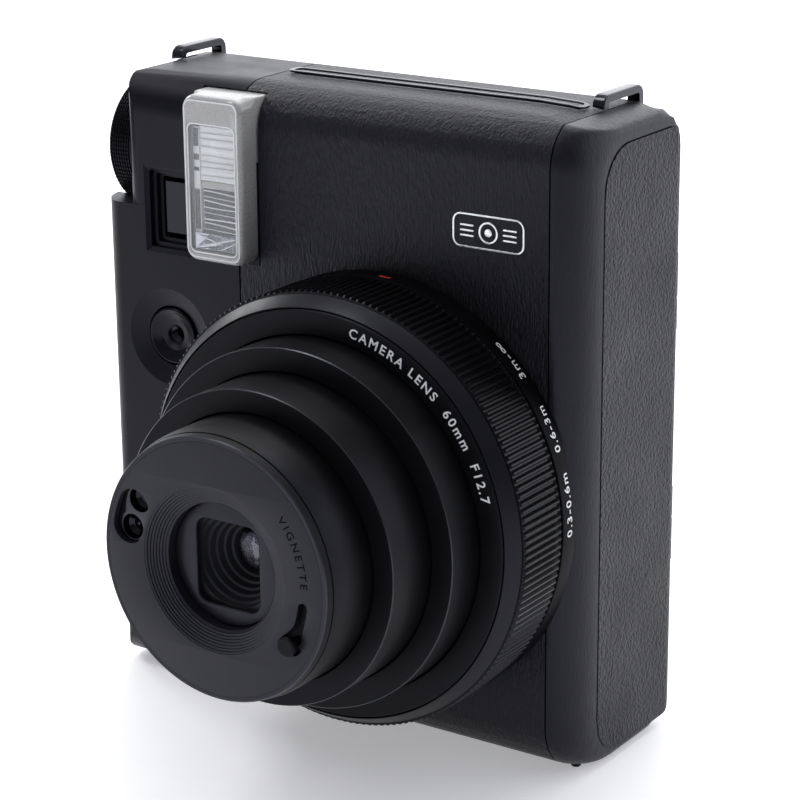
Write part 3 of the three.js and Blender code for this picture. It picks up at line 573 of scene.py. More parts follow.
# ---- lens ----
def scale_band():
    """The fixed band behind the focus ring, with its distance marks and a red index."""
    body, slot = "camera_body", "barrel_plastic"
    profile = [(LENS_BORE, BAND_REAR), (BAND_R, BAND_REAR), (BAND_R, BAND_FRONT + 0.2),
               (BAND_R - 0.55, BAND_FRONT), (LENS_BORE, BAND_FRONT)]
    band = lathe("band", profile, "band_plastic", body, slot, 200)
    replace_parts(band, "scale_band")
    for name, text, start, end in (("far_mark", "3m-∞", 50, 38.5), ("middle_mark", "0.6-3m", 70, 57.8),
                                   ("near_mark", "0.3-0.6m", 92, 75.5)):
        bend = on_band(BAND_R, BAND_REAR - 1.05, start, end)
        letters(name, text, 2.15, bend, "white_paint", body, slot, bold=0.008, spacing=1.2)
    letters("index_mark", "-", 4.2, on_band(BAND_R, BAND_REAR - 1.5, 5.2, 1.6), "red_paint", body, slot)


def ribbed(r, y, turn):
    """The focus ring's grip: narrow ridges with flat grooves between them."""
    in_grip = r >= RING_R - 0.4 and RING_FRONT + 0.1 <= y <= RING_REAR - 0.35
    if not in_grip:
        return r
    phase = (turn * RIBS) % 1.0
    ridge = max(0.0, 1.0 - abs(phase - 0.5) * 3.2)
    return r - RIB_DEPTH * (1 - min(1.0, ridge * 1.7))


def focus_ring():
    body, slot = "focus_ring", "barrel_plastic"
    rear, front = RING_REAR, RING_FRONT
    profile = [(LENS_BORE, rear, 0), (RING_R - 0.4, rear, 0.1), (RING_R - 0.3, rear - 0.5, 0),
               (RING_R, rear - 0.55, 0), (RING_R, front + 0.35, 0), (RING_R - 0.3, front, 0),
               (LENS_BORE, front, 0)]
    ring = lathe("ribbed_ring", profile, "ring_plastic", body, slot, RIBS * 8, ripple=ribbed, angle=28)
    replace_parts(ring, "focus_ring")
    bevel = [(36.0, front - 0.05, 0), (38.75, front - 0.05, 0.1), (36.95, front - 2.6, 0.12),
             (36.85, front - 2.6, 0), (36.85, front - 0.2, 0), (36.0, front - 0.2, 0)]
    # The bevel's lighter colour is painted light.
    lathe("ring_bevel", bevel, "painted_light_bevel_plastic", body, slot, 240, angle=25)


def name_ring():
    bore, r = 32.3, 36.6
    profile = [(bore, NAME_REAR), (r, NAME_REAR), (r, NAME_FRONT + 0.25), (r - 0.25, NAME_FRONT),
               (bore, NAME_FRONT)]
    ring = lathe("name_ring_face", profile, "barrel_plastic", "camera_body", "barrel_plastic", 200,
                 radius=0.1)
    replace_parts(ring, "nameplate_ring")
    letters("ring_lettering", "CAMERA LENS  60mm  F12.7", 2.4, on_ring(33.75, NAME_FRONT, 10.7, 75.1),
            "white_paint", "camera_body", "barrel_plastic", bold=0.014, spacing=1.3)


def paint_strip(obj, look, r0, r1, y0, y1):
    """Gives the faces of a turned piece between two radii and two depths their own material."""
    obj.data.materials.append(LOOKS[look])
    index = len(obj.data.materials) - 1
    for face in obj.data.polygons:
        x, y, z = (c / MM for c in face.center)
        if r0 < math.hypot(x - LENS_X, z - LENS_Z) < r1 and y0 < y < y1:
            face.material_index = index


def tube(name, body, barrel, replaced):
    """One telescoping tube, with a fine chamfer round its front edge that is painted lighter grey as a
    painted highlight.
    """
    r, hole, front = barrel["r"], barrel["hole"], barrel["front"]
    inner, back, flange, chamfer = r - BARREL_WALL, front + BARREL_LENGTH, front + 1.6, 0.16
    profile = [(hole, front, 0.15), (r - chamfer, front, 0), (r, front + chamfer, 0), (r, back, 0.1),
               (inner, back, 0.1), (inner, flange, 0.1), (hole, flange, 0.1)]
    piece = lathe(name, profile, "barrel_plastic", body, "barrel_plastic", 180, angle=20)
    # Painted highlight: the front chamfer gets the lighter grey.
    paint_strip(piece, "painted_highlight_plastic", r - 0.15, r + 0.01, front + 0.01, front + 0.15)
    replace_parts(piece, replaced)


def front_tube():
    """The narrowest tube: a thin front edge painted lighter grey as a painted highlight, a fine groove and
    a slight taper behind the cap.
    """
    front, back, r = CAP_FRONT, CAP_FRONT + BARREL_LENGTH, CAP_R
    profile = [(21.9, front + 0.02, 0), (22.5, front, 0), (22.72, front + 0.22, 0),
               (22.95, front + 1.3, 0), (22.85, front + 1.38, 0), (22.85, front + 1.55, 0),
               (23.05, front + 1.62, 0), (23.3, front + 3.0, 0), (r, front + 4.5, 0), (r, back, 0.1),
               (21.92, back, 0.1)]
    tip = lathe("tube_front", profile, "barrel_plastic", "front_barrel", "barrel_plastic", 180, angle=20)
    paint_strip(tip, "cap_plastic", 21.93, 22.45, front - 0.05, front + 0.05)
    # Painted highlight: the front chamfer gets the lighter grey.
    paint_strip(tip, "painted_highlight_plastic", 22.5, 22.75, front + 0.05, front + 0.25)
    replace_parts(tip, "front_barrel")


def barrels():
    tube("tube_rear", "rear_barrel", REAR_BARREL, "rear_barrel")
    tube("tube_middle", "middle_barrel", MIDDLE_BARREL, "middle_barrel")
    front_tube()


def kidney(grow=0.0):
    """The recess round the two sensors: a short rounded slot along an arc, wider than the sensors."""
    return curved_slot(SENSOR_ARC, -76.0, -64.0, 3.1 + grow, 16)


def cap_face(body):
    slot = curved_slot(SENSOR_ARC, LEVER_START, LEVER_END, 0.9, swell=1.15)
    holes = [circle(LENS_X, LENS_Z, DISH_R, 128), kidney(), slot]
    face = plate("cap_face", [circle(LENS_X, LENS_Z, 21.88, 160), *holes], CAP_FRONT, 1.2, "cap_plastic",
                 body, "barrel_plastic", bevel=0.07)
    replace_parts(face, "front_cap")


def grooved_dish(body):
    """Seven fine steps that fall away towards the window, ending in a deep one."""
    front, outer, inner, floor = CAP_FRONT, DISH_R + 0.15, 10.95, CAP_FRONT + 5.4
    profile = [(outer, front + 1.6, 0), (outer - 0.05, front + 0.02, 0.05)]
    for i in range(7):
        r = DISH_R - 0.05 - i * 0.44
        y = front + 0.12 + i * 0.25
        profile += [(r, y, 0.04), (r - 0.28, y + 0.06, 0.04), (r - 0.32, y + 0.26, 0)]
    profile += [(inner, front + 2.1, 0.15), (inner, floor, 0), (outer, floor, 0)]
    lathe("grooved_dish", profile, "cap_plastic", body, "barrel_plastic", 160, radius=0.03)


def cap_window(body):
    """The window's rounded square, the baffles stepping in behind it, and the front glass."""
    front = CAP_FRONT
    wide, below, above = 6.4, 7.8, 7.1
    opening = rectangle(LENS_X - wide, LENS_X + wide, LENS_Z - below, LENS_Z + above, 2.2)
    plate("window_plate", [circle(LENS_X, LENS_Z, 10.9, 96), opening], front + 3.9, 1.2, "cap_plastic",
          body, "barrel_plastic", bevel=0.3)
    rim, bore, back = 21.6, 3.75, front + 13.6
    funnel = [(rim, front + 5.5, 0.2), (8.2, front + 5.5, 0.1)]
    for i in range(5):
        r, y = 7.9 - 0.8 * i, front + 6.5 + 1.15 * i
        funnel += [(r, y, 0.1), (r - 0.45, y + 0.1, 0.12)]
    funnel += [(bore, front + 12.4, 0), (bore, back, 0), (rim, back, 0.2)]
    cell = lathe("baffles", funnel, "inner_plastic", body, "inner_plastic", 96, radius=0.05)
    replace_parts(cell, "lens_cell")
    glass = [(0.02, front + 10.9, 0), (1.4, front + 11.05, 1), (2.7, front + 11.5, 1),
             (3.7, front + 12.2, 0.1), (3.7, front + 13.2, 0), (0.02, front + 13.2, 0)]
    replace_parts(lathe("front_glass", glass, "coated_glass", body, "coated_glass", 64), "front_lens")


def sensors(body):
    """The sensor recess: a glossy floor with two round wells, each with a dark glass bead."""
    front = CAP_FRONT
    wells = [on_face(SENSOR_ARC + 0.15, -61.0), on_face(SENSOR_ARC, -78.0)]
    holes = [circle(x, z, 2.15, 48) for x, z in wells]
    floor = plate("sensor_floor", [kidney(0.35), *holes], front + 1.3, 0.8,
                  "gloss_black", body, "gloss_black", bevel=0.12)
    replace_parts(floor, "sensor_windows")
    bead = [(0.02, front + 3.3, 0), (1.2, front + 3.2, 0.3), (2.0, front + 2.7, 0.1),
            (2.14, front + 1.9, 0), (2.3, front + 1.9, 0), (2.3, front + 4.0, 0), (0.02, front + 4.0, 0)]
    for i, (x, z) in enumerate(wells):
        lathe(f"sensor_{i + 1}", bead, "dark_glass_and_shade", body, "gloss_black", 40, x, z)


def cap():
    body = "front_barrel"
    cap_face(body)
    grooved_dish(body)
    cap_window(body)
    sensors(body)
    plate("lever_floor", [curved_slot(SENSOR_ARC, LEVER_START - 1.1, LEVER_END + 1.0, 1.4, swell=1.2)],
          CAP_FRONT + 2.0, 0.5, "inner_plastic", body, "inner_plastic", bevel=0.05)
    # Painted shade: the lettering is nearly flat and coloured near-black for the shade inside sunk strokes.
    letters("lever_lettering", "VIGNETTE", 2.0, on_ring(17.6, CAP_FRONT + 0.02, 49, 88), "sunk_letter_shade", body,
            "barrel_plastic", bold=0.006, spacing=1.35)


def lever():
    """The vignette lever: a low knob on a stem that runs in its slot."""
    x, z = on_face(SENSOR_ARC, LEVER_END)
    front, stem = CAP_FRONT, 0.8
    profile = [(0.02, front - 1.65, 0), (1.5, front - 1.7, 0.15), (1.75, front - 1.45, 0.1),
               (1.6, front - 0.3, 0.1), (stem, front - 0.2, 0), (stem, front + 2.0, 0),
               (0.02, front + 2.0, 0)]
    knob = lathe("lever_knob", profile, "barrel_plastic", "vignette_lever", "gloss_black", 48, x, z)
    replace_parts(knob, "vignette_lever")


# ---- release, dial ----
def shutter_release():
    """The round button with its threaded hole, and the conical dish round it."""
    x, z, f, r = BUTTON_X, BUTTON_Z, FRONT, BUTTON_R
    back = f + 4.2
    profile = [(1.62, back, 0), (1.62, f + 2.2, 0.05), (1.95, f + 1.95, 0.1), (3.0, f + 1.75, 0.6),
               (4.3, f + 1.15, 0.6), (5.0, f + 0.72, 0.2), (r - 0.02, f + 0.95, 0.15), (r, back, 0)]
    button = lathe("release_button", profile, "button_plastic", "shutter_button", "gloss_black", 96, x, z)
    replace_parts(button, "shutter_button")
    thread = []
    for i in range(4):
        y = f + 2.5 + i * 0.42
        thread += [(1.55, y, 0), (1.28, y + 0.2, 0)]
    thread += [(1.55, back, 0), (1.66, back, 0), (1.66, f + 2.5, 0)]
    lathe("release_thread", thread, "gloss_black", "shutter_button", "gloss_black", 48, x, z)
    top, foot, floor = BUTTON_DISH_R, BUTTON_DISH_FOOT, f + BUTTON_DISH_DEPTH
    dish = [(top, f - 0.015), (foot, floor - 0.015), (foot, floor + 0.8), (foot + 0.25, floor + 0.8),
            (top - 0.28, f + 0.6)]
    lathe("release_dish", dish, "shell_plastic", "camera_body", "shell_plastic", 128, x, z, radius=0.0)


def side_dial():
    """The knurled dial: eight rows of small square studs between two plain edges."""
    x0, x1, r = DIAL_OUTER, DIAL_INNER, DIAL_R
    rows, studs, steps_per_stud, bore = 8, 96, 4, 1.9
    width = (x1 - x0 - 1.0) / rows
    profile = [(bore, x0 + 1.6, 0), (8.6, x0 + 1.6, 0.2), (8.8, x0, 0.2), (11.6, x0, 0.3),
               (r - 0.25, x0 + 0.5, 0)]
    for i in range(rows):
        a = x0 + 0.5 + i * width
        profile += [(r - 0.3, a + 0.06, 0), (r, a + width * 0.3, 0), (r, a + width * 0.7, 0),
                    (r - 0.3, a + width - 0.06, 0)]
    profile += [(r - 0.25, x1 - 0.5, 0), (r - 0.3, x1, 0.1), (bore, x1, 0)]

    def knurl(rr, x, turn):
        if rr < r - 0.1 or x < x0 + 0.5:
            return rr
        phase = (turn * studs) % 1.0
        return rr - (0.3 if phase < 0.25 else 0.0)
    dial = turned_x("side_dial", profile, "shell_plastic", "effect_dial", "shell_plastic",
                    studs * steps_per_stud, DIAL_Y, DIAL_Z, knurl, 25)
    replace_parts(dial, "effect_dial")


# ---- flash ----
LOFT_STEPS = 8
COLLAR_TOP = 104.0


def flash_shell():
    """The frosted shell: rounded at the front, square and flared where it enters the cover."""
    x0, x1, z0, z1 = FLASH
    f, flare_foot = FLASH_FRONT, 101.0

    def outline(inset, radius, y, flare=0.0, top=None):
        low = rectangle(*grown(FLASH, -inset), radius, LOFT_STEPS)
        high = rectangle(*grown(FLASH, -inset), radius if top is None else top, LOFT_STEPS)
        out = []
        for x, z in [b if b[1] > (z0 + z1) / 2 else a for a, b in zip(low, high)]:
            lift = max(0.0, (z - flare_foot) / (z1 - flare_foot)) ** 2
            side = max(0.0, (x - (x0 + x1) / 2) / (x1 - x0) * 2)
            out.append((x + flare * lift * side, y, z))
        return out

    def opening(grow, radius, y):
        return [(x, y, z) for x, z in rectangle(*grown(LAMP, grow), radius, LOFT_STEPS)]
    loops = [outline(1.25, 1.4, f + 0.04), outline(1.0, 1.6, f), outline(0.62, 2.0, f + 0.1),
             outline(0.3, 2.3, f + 0.36), outline(0.1, 2.45, f + 0.75), outline(0.0, 2.5, f + 1.3),
             outline(0.0, 2.4, f + 3.2, 0.15), outline(0.0, 2.4, f + 4.2, 0.2, 0.5),
             outline(0.0, 2.4, f + 6.5, 0.2, 0.4), outline(0.0, 2.4, f + 10.6, 0.2, 0.4),
             opening(0.0, 0.7, f + 10.6), opening(0.0, 0.8, f + 0.6), opening(0.1, 0.9, f + 0.25),
             opening(0.45, 1.2, f + 0.16), opening(0.6, 1.3, f + 0.03)]
    return loft("flash_frame", loops, "frosted_plastic", "camera_body", "clear_plastic")


def flash_collar(body):
    """A thin collar that closes the gap between the cover and the sides and foot of the shell."""
    x0, x1, z0, z1 = FLASH
    gap = 0.28
    under = [(x, z) for x, z in rectangle(x0 - 0.02, x1 + 0.02, z0 - 0.02, z1, 2.4, LOFT_STEPS)
             if z < COLLAR_TOP]
    left_side = [(x, z) for x, z in under if x < (x0 + x1) / 2]
    right_side = [(x, z) for x, z in under if x > (x0 + x1) / 2]
    outer = [(x0 - gap, COLLAR_TOP), (x0 - gap, z0 - gap), (x1 + gap, z0 - gap), (x1 + gap, COLLAR_TOP),
             (x1 + 0.02, COLLAR_TOP)]
    outline = outer + right_side[::-1] + left_side[::-1] + [(x0 - 0.02, COLLAR_TOP)]
    plate("flash_collar", [outline], FRONT + 0.04, 2.0, "shell_plastic", body, "shell_plastic", bevel=0.03)


def flash_front(body):
    """Two raised white beads round the front face, painted highlights for its bright edge lines, and the
    clear pane over the lamp.
    """
    f = FLASH_FRONT
    # Painted highlights: thin white beads stand in for the bright lines along the edges of the front face
    # and the lamp opening.
    bead = [rectangle(*grown(FLASH, -t), 1.9 - t / 2, LOFT_STEPS) for t in (0.75, 0.98)]
    plate("flash_highlight_bead", bead, f - 0.04, 0.3, "lamp_white", body, "clear_plastic", bevel=0.05)
    inner_highlight_bead = [rectangle(*grown(LAMP, t), 0.9 + t) for t in (0.42, 0.14)]
    plate("lamp_highlight_bead", inner_highlight_bead, f + 0.06, 0.3, "lamp_white", body, "clear_plastic", bevel=0.06)
    plate("flash_pane", [rectangle(*grown(LAMP, -0.03), 0.7)], f + 0.3, 0.25, "thin_pane", body,
          "clear_plastic", bevel=0.05)


def ribbed_strip(name, x0, x1, z0, z1, ribs, y, depth, wave, look, slot):
    """A thin sheet, bowed across the lamp, with level ribs."""
    across, rows, points, faces = 16, ribs * 6 + 1, [], []
    for i in range(rows):
        t = i / (rows - 1)
        for k in range(across + 1):
            u = k / across
            phase = 2 * math.pi * (ribs * t + 0.12 * math.sin(5 * u + 7 * t))
            bowl = depth * (1 - (2 * t - 1) ** 2)
            crest = wave * abs(math.sin(phase / 2)) ** 0.5
            points.append((x0 + (x1 - x0) * u, y + bowl + crest, z0 + (z1 - z0) * t))
    for i in range(rows - 1):
        for k in range(across):
            a = i * (across + 1) + k
            faces.append((a, a + 1, a + across + 2, a + across + 1))
    piece = finish_mesh(name, mesh_of(name, points, faces), look, "camera_body", slot, 50)
    thicken(piece, 0.35, 0)
    return piece


def lamp_lenses(body, left, right, top):
    """The white lamp lens above, the dark sensor lens below, and the fine lines over both: the white lines
    over the lower lens are painted highlights on its ribs.
    """
    f = FLASH_FRONT
    lamp = ribbed_strip("lamp_lens", left, right - 0.1, 100.4, top - 0.1, 7, f + 0.85, 0.15, 0.2,
                        "lamp_white", "clear_plastic")
    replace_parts(lamp, "flash_reflector", "flash_tube")
    lower = ribbed_strip("meter_lens", left + 0.25, right - 0.35, 91.0, 98.8, 8, f + 1.3, 0.1, 0.25,
                         "lamp_dark", "inner_plastic")
    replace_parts(lower, "flash_sensor_block")
    start, end, steps = left + 0.3, right - 0.45, 24
    # Painted highlights: white strips along the lower lens's ribs stand in for the glints on their crests.
    for i, height in enumerate((91.5, 92.5, 93.4, 94.5, 95.6, 96.6, 97.4, 98.4)):
        lift = 0.14 * math.sin(i * 2.1)
        half = 0.05 + 0.025 * (i % 3)
        points = []
        for k in range(steps + 1):
            u = k / steps
            points.append((start + (end - start) * u, height + lift * math.sin(3.0 * u + i) - 0.25 * u))
        outline = [(x, z + half) for x, z in points] + [(x, z - half) for x, z in reversed(points)]
        plate(f"meter_rib_{i + 1}", [outline], f + 1.0, 0.3, "lamp_white", body, "clear_plastic",
              bevel=0.02)
    for i in range(7):
        a, b = left + 0.1, right - 0.15
        z, drop = 101.3 + 1.3 * i + 0.2 * math.sin(i * 1.7), 0.12 * math.cos(i)
        line = [(a, z + 0.05), (b, z + drop + 0.05), (b, z + drop - 0.04), (a, z - 0.04)]
        plate(f"lamp_line_{i + 1}", [line], f + 0.72, 0.2, "lamp_cream", body, "clear_plastic", bevel=0.01)


def lamp_lining(body, left):
    """White lining: a back wall, the left strip with its dark marks, and the band between the lenses."""
    x0, x1, z0, z1 = LAMP
    f, slot = FLASH_FRONT, "inner_plastic"
    box_mesh("lamp_back", x0 + 0.05, x1 - 0.05, f + 2.0, f + 8.0, z0 + 0.1, z1 - 0.1, "lamp_white", body,
             slot, 0.2)
    box_mesh("lamp_band", left, x1 - 0.1, f + 0.95, f + 2.1, 98.95, 100.3, "lamp_cream", body, slot, 0.12)
    box_mesh("lamp_side", x0 + 0.1, left - 0.3, f + 1.1, f + 2.1, z0 + 3.0, z1 - 0.4, "lamp_white", body,
             slot, 0.12)
    for i, (low, high) in enumerate(((106.4, 109.7), (103.9, 105.0), (101.9, 102.6), (91.2, 98.6))):
        box_mesh(f"lamp_mark_{i + 1}", x0 + 0.3, left - 0.5, f + 1.0, f + 1.4, low, high, "lamp_dark", body,
                 slot, 0.06)


def lamp_prism(body):
    """The faceted prism under the lower lens, with three white strips painted along its edges as
    highlights.
    """
    x0, x1, z0, z1 = LAMP[0] + 0.4, LAMP[1] - 0.35, LAMP[2] + 0.25, 90.75
    front, back = FLASH_FRONT + 0.8, FLASH_FRONT + 2.1
    xm, zm = x0 + (x1 - x0) * 0.62, z0 + (z1 - z0) * 0.6
    corners = [(x0, front, z0), (x1, front, z0), (x1, front, z1), (x0, front, z1), (xm, back, zm),
               (x0 + 2.6, back - 0.4, z1 - 0.2), (x0 + 3.8, back - 0.3, z0 + 0.5),
               (x1 - 0.9, back - 0.5, zm + 0.4)]
    faces = [(0, 6, 4), (0, 4, 5), (0, 5, 3), (3, 5, 2), (5, 4, 2), (4, 7, 2), (7, 1, 2), (4, 6, 7),
             (6, 1, 7), (0, 1, 6)]
    prism = finish_mesh("prism_facets", mesh_of("prism", corners, faces), "lamp_facet", body,
                        "clear_plastic", smooth=False)
    thicken(prism, 0.2)
    # Painted highlights: white strips along three facet edges.
    edges = [((x0, z0 + 0.2), (x1 - 0.3, z1 - 0.5)), ((x0, z1 - 0.3), (xm, z0 + 1.2)),
             ((xm, z0 + 0.2), (x1 - 0.2, zm))]
    for i, (start, end) in enumerate(edges):
        a, b = Vector(start), Vector(end)
        side = Vector((a.y - b.y, b.x - a.x)).normalized() * 0.09
        outline = [tuple(p) for p in (a + side, b + side, b - side, a - side)]
        plate(f"prism_edge_{i + 1}", [outline], FLASH_FRONT + 0.72, 0.2, "lamp_white", body,
              "clear_plastic", bevel=0.03)


def flash_unit():
    body = "camera_body"
    left = LAMP[0] + 1.9
    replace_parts(flash_shell(), "flash_window")
    flash_collar(body)
    flash_front(body)
    lamp_lenses(body, left, LAMP[1], LAMP[3])
    lamp_lining(body, left)
    lamp_prism(body)


# ---- finder ----
def finder():
    """The finder's mouth: a bevelled surround with two steps down to the front glass, which is coloured
    near-black as painted shade.
    """
    f = FRONT

    def ring(inset, radius, y):
        return [(x, y, z) for x, z in rectangle(*grown(FINDER, -inset), radius, LOFT_STEPS)]
    loops = [ring(0.0, 0.3, f + 0.05), ring(0.75, 0.5, f + 0.65), ring(0.8, 0.5, f + 1.6),
             ring(1.5, 0.5, f + 1.7), ring(1.6, 0.5, f + 2.7), ring(2.2, 0.5, f + 2.8),
             ring(2.25, 0.5, f + 4.6), ring(0.0, 0.3, f + 4.6)]
    surround = loft("finder_surround", loops, "shell_plastic", "camera_body", "gloss_black", 25)
    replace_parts(surround, "finder_frame")


# ---- badge ----
def badge():
    """A small silver emblem: a rounded frame, a ring with a dot, and three bars each side."""
    x0, x1, z0, z1 = BADGE
    cx, cz = (x0 + x1) / 2, (z0 + z1) / 2

    def inlay(name, loops):
        plate(name, loops, FRONT - 0.12, 0.3, "silver_paint", "camera_body", "steel", bevel=0.05)
    inlay("badge_frame", [rectangle(*BADGE, 1.6), rectangle(*grown(BADGE, -0.32), 1.3)])
    inlay("badge_ring", [circle(cx, cz, 1.9, 48), circle(cx, cz, 1.55, 48)])
    inlay("badge_dot", [circle(cx, cz, 0.7, 32)])
    for side, word in ((-1, "left"), (1, "right")):
        a, b = sorted((cx + side * 2.9, cx + side * 5.6))
        for k, dz in enumerate((-0.9, 0.0, 0.9)):
            inlay(f"badge_bar_{word}_{k + 1}", [rectangle(a, b, cz + dz - 0.16, cz + dz + 0.16, 0.14)])


# ---- right cover ----
def fall(x, width, depth):
    """How far the round of an outer edge, an ellipse width by depth, has dropped at x."""
    t = min(1.0, max(0.0, (x - (HALF - width)) / width))
    return depth * (1 - math.sqrt(1 - t * t))


SIDE_ROUND = {"x": 5.5, "y": 8.5}
BACK_TOP_ROUND = {"y": 13.7, "z": 20.0}


def cover_section(x, blend, inset=0.0, steps=10):
    """The cover's outline at x. Its front upper corner sinks with the top edge by the blend."""
    y0, y1 = FRONT + fall(x, SIDE_ROUND["x"], SIDE_ROUND["y"]) + inset, BACK - fall(x, 4.0, 4.0)
    z0, z1 = fall(x, 1.5, 1.5) + inset, HEIGHT - fall(x, 16.0, 3.5) - inset
    top = HEIGHT - inset
    drop = (top - z1) * blend
    ry, rz = BACK_TOP_ROUND["y"], BACK_TOP_ROUND["z"]
    corners = ((y0 + 8, top - drop - 8, 8.0, 8.0, 90), (y0 + 10, z0 + 10, 10.0, 10.0, 180),
               (y1 - 8, z0 + 8, 8.0, 8.0, 270), (BACK - ry, top - rz, ry, rz, 0))
    reach = min(COVER_REAR, y1) - inset
    out = []
    for cy, cz, wide, tall, start in corners:
        for i in range(steps + 1):
            a = math.radians(start + 90 * i / steps)
            z = min(cz + tall * math.sin(a), z1)
            beside_door = 7.0 < z < 102.0
            trim = (0.5 if x < 47.2 else 0.12) if beside_door else 0.0
            out.append((x, min(cy + wide * math.cos(a), reach - trim), z))
    return out


def panel_seat(x, steps=10):
    """The edge of the side panel's recess at x, round at the front and nearly square at the back."""
    y0, y1, z0, z1 = -11.6, 13.7, 1.6, 112.3
    front, back = 8.0, 3.0
    corners = ((y0 + front, z1 - front, front, 90), (y0 + front, z0 + front, front, 180),
               (y1 - back, z0 + back, back, 270), (y1 - back, z1 - back, back, 0))
    out = []
    for cy, cz, r, start in corners:
        for i in range(steps + 1):
            a = math.radians(start + 90 * i / steps)
            out.append((x, cy + r * math.cos(a), cz + r * math.sin(a)))
    return out


def side_skin():
    """The right cover, its front corners rounded over, open where the side panel sits, and its feet."""
    wide, rounds, last = SIDE_ROUND["x"], 14, math.radians(88.3)
    loops = [cover_section(COVER_SEAM, 0.0, 2.0), cover_section(COVER_SEAM, 0.0)]
    for i in range(1, rounds + 1):
        share = math.sin(last * i / rounds)
        loops.append(cover_section(HALF - wide + wide * share, share))
    loops += [panel_seat(HALF - 0.002), panel_seat(HALF - 0.9)]
    skin = loft("side_cover_skin", loops, "side_plastic", "camera_body", "shell_plastic", 50.0)
    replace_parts(skin, "side_cover")
    for k, y in enumerate((-11.0, 6.5)):
        foot = []
        for z, r in ((-0.6, 0.02), (-0.6, 0.75), (-0.45, 0.9), (0.8, 0.9), (0.8, 0.02)):
            foot.append([(px, py, z) for px, py in circle(47.4, y, r, 24)])
        loft(f"side_foot_{k + 1}", foot, "side_plastic", "camera_body", "shell_plastic")


# ---- CAD nodes that stay ----
# The finder's front lens is coloured near-black as painted shade for the dark inside of the finder.
SPECIAL = {"finder_front_lens": "dark_glass_and_shade", "door_hinge_pin": "dark_steel"}
SOFT = {"grip_cover", "centre_cover", "side_panel", "rear_cover", "film_door", "door_latch",
        "eyepiece_frame", "strap_lug_left", "strap_lug_right", "slot_rim", "battery_door", "screen_window",
        "brightness_dial", "flash_mode_button", "self_timer_button", "exposure_mode_button"}


def soften(obj):
    """Joins the faceted faces of a CAD shell, breaks its sharp edges and evens its shading."""
    weld = obj.modifiers.new("weld", "WELD")
    weld.merge_threshold = 0.002 * MM
    flat = obj.modifiers.new("merge", "DECIMATE")
    flat.decimate_type = "DISSOLVE"
    flat.angle_limit = math.radians(0.6)
    edge = obj.modifiers.new("edge", "BEVEL")
    edge.width = 0.18 * MM
    edge.segments = 2
    edge.limit_method = "ANGLE"
    edge.angle_limit = math.radians(38)
    edge.harden_normals = False
    weighted = obj.modifiers.new("normals", "WEIGHTED_NORMAL")
    weighted.keep_sharp = False
    weighted.weight = 70


def dress_cad():
    """Materials for the CAD nodes by their slot, with softened edges on the shells."""
    slots = {s["node"]: s["material_slot"] for s in frame["record"]["subparts"]}
    for name, obj in frame["nodes"].items():
        obj.data.materials.clear()
        obj.data.materials.append(LOOKS[SPECIAL.get(name, slots[name])])
        if obj.hide_render:
            continue
        obj.data.shade_smooth()
        if name in SOFT:
            soften(obj)
        else:
            obj.data.set_sharp_from_angle(angle=math.radians(32))


# ---- stage, light, camera ----
def ground():
    """A pale floor just under the feet."""
    size, low = 3.0, -0.0006
    corners = [(-size, -size, low), (size, -size, low), (size, size, low), (-size, size, low)]
    mesh = bpy.data.meshes.new("floor")
    mesh.from_pydata(corners, [], [(0, 1, 2, 3)])
    floor = bpy.data.objects.new("floor", mesh)
    bpy.context.scene.collection.objects.link(floor)
    mat = shader("floor_look", (0.93, 0.93, 0.95), 0.6, Emission_Color=(0.97, 0.97, 1.0, 1),
                 Emission_Strength=0.35)[0]
    mesh.materials.append(mat)


def room():
    """Soft light from above, a bright low band behind, and a dark room in front."""
    world = bpy.data.worlds.new("studio")
    bpy.context.scene.world = world
    world.use_nodes = True
    nodes, links = world.node_tree.nodes, world.node_tree.links
    back = nodes["Background"]
    coords = nodes.new("ShaderNodeTexCoord")
    split = nodes.new("ShaderNodeSeparateXYZ")
    links.new(coords.outputs["Generated"], split.inputs["Vector"])

    def scaled(output, factor, add):
        node = nodes.new("ShaderNodeMath")
        node.operation = "MULTIPLY_ADD"
        node.inputs[1].default_value = factor
        if isinstance(add, float):
            node.inputs[2].default_value = add
        else:
            links.new(add, node.inputs[2])
        links.new(output, node.inputs[0])
        return node.outputs["Value"]
    behind = nodes.new("ShaderNodeClamp")
    links.new(split.outputs["Y"], behind.inputs["Value"])
    low_down = scaled(split.outputs["Z"], -1.0, 1.0)
    band = nodes.new("ShaderNodeMath")
    band.operation = "MULTIPLY"
    links.new(behind.outputs["Result"], band.inputs[0])
    links.new(low_down, band.inputs[1])
    above = scaled(split.outputs["Z"], 0.34, 0.15)
    level = scaled(band.outputs["Value"], 2.9, above)
    clamp = nodes.new("ShaderNodeClamp")
    clamp.inputs["Min"].default_value = 0.05
    clamp.inputs["Max"].default_value = 2.6
    links.new(level, clamp.inputs["Value"])
    links.new(clamp.outputs["Result"], back.inputs["Strength"])
    back.inputs["Color"].default_value = (0.94, 0.95, 1.0, 1)


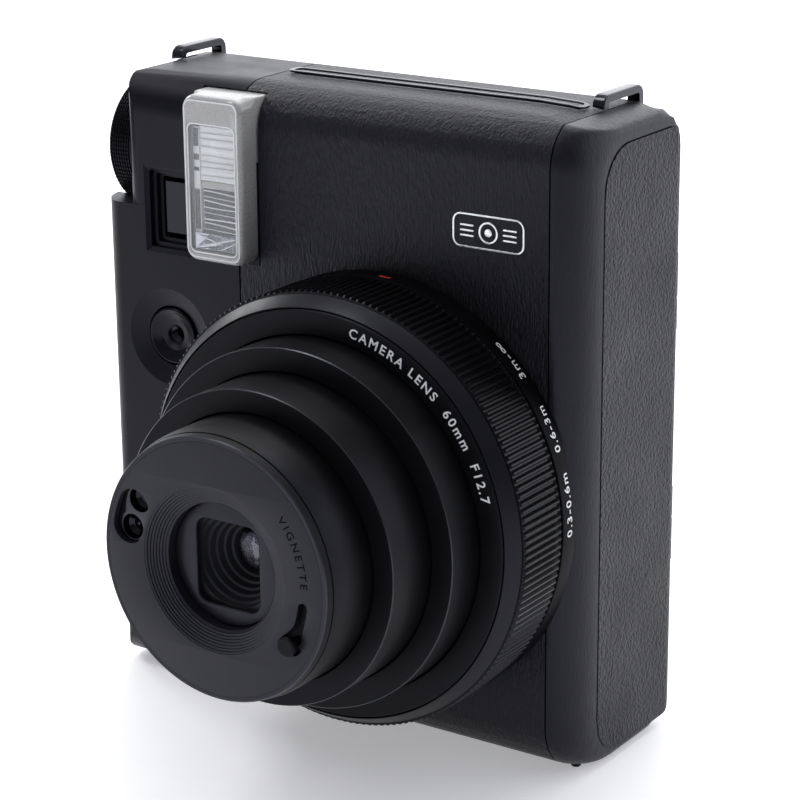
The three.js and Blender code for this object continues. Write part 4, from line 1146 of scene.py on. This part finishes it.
# The name, place, aim, size and power of each lamp, in metres and watts.
LAMPS = (
    ("key", (-0.3, -0.25, 0.75), (0, 0, 0.05), 0.25, 1.7),
    ("top", (0.0, 0.2, 0.7), (0, 0.05, 0.0), 0.45, 1.5),
    ("rim_left", (-0.8, 0.25, 0.45), (0, 0, 0.06), 0.25, 2.0),
    ("rim_right", (0.85, 0.35, 0.5), (0.03, 0, 0.06), 0.25, 0.35),
    ("backdrop", (-0.3, 0.9, 0.8), (-0.3, 0.9, 0.0), 0.9, 6.0),
    ("low_front", (-0.36, -0.5, 0.08), (0, 0, 0.0), 0.16, 0.12))


def studio():
    bpy.context.scene.view_settings.view_transform = "Standard"
    ground()
    room()
    for name, spot, aim, size, power in LAMPS:
        data = bpy.data.lights.new(name, "AREA")
        data.size = size
        data.energy = power
        lamp = bpy.data.objects.new(name, data)
        lamp.visible_camera = False
        lamp.location = spot
        lamp.rotation_euler = (Vector(aim) - Vector(spot)).to_track_quat("-Z", "Y").to_euler()
        bpy.context.scene.collection.objects.link(lamp)


# The camera's place is in millimetres, its angles are in degrees.
CAMERA_SPOT = Vector((259.39, -379.37, 203.52))
AZIMUTH, ELEVATION, ROLL = 34.096, 17.684, -0.509
LENS_LENGTH, SENSOR_WIDTH = 117.015, 36.0


def camera():
    azimuth, elevation, roll = math.radians(AZIMUTH), math.radians(ELEVATION), math.radians(ROLL)
    level = math.cos(elevation)
    back = Vector((math.sin(azimuth) * level, -math.cos(azimuth) * level, math.sin(elevation)))
    right = Vector((math.cos(azimuth), math.sin(azimuth), 0))
    up = back.cross(right)
    turned_right = right * math.cos(roll) + up * math.sin(roll)
    turned_up = up * math.cos(roll) - right * math.sin(roll)
    data = bpy.data.cameras.new("camera")
    data.lens = LENS_LENGTH
    data.sensor_width = SENSOR_WIDTH
    data.clip_start = 0.01
    obj = bpy.data.objects.new("camera", data)
    turn = Matrix((turned_right, turned_up, back)).transposed().to_4x4()
    obj.matrix_world = Matrix.Translation(CAMERA_SPOT * MM) @ turn
    bpy.context.scene.collection.objects.link(obj)
    bpy.context.scene.camera = obj


scale_band()
focus_ring()
name_ring()
barrels()
cap()
lever()
shutter_release()
side_dial()
flash_unit()
finder()
badge()
side_skin()
dress_cad()
studio()
camera()
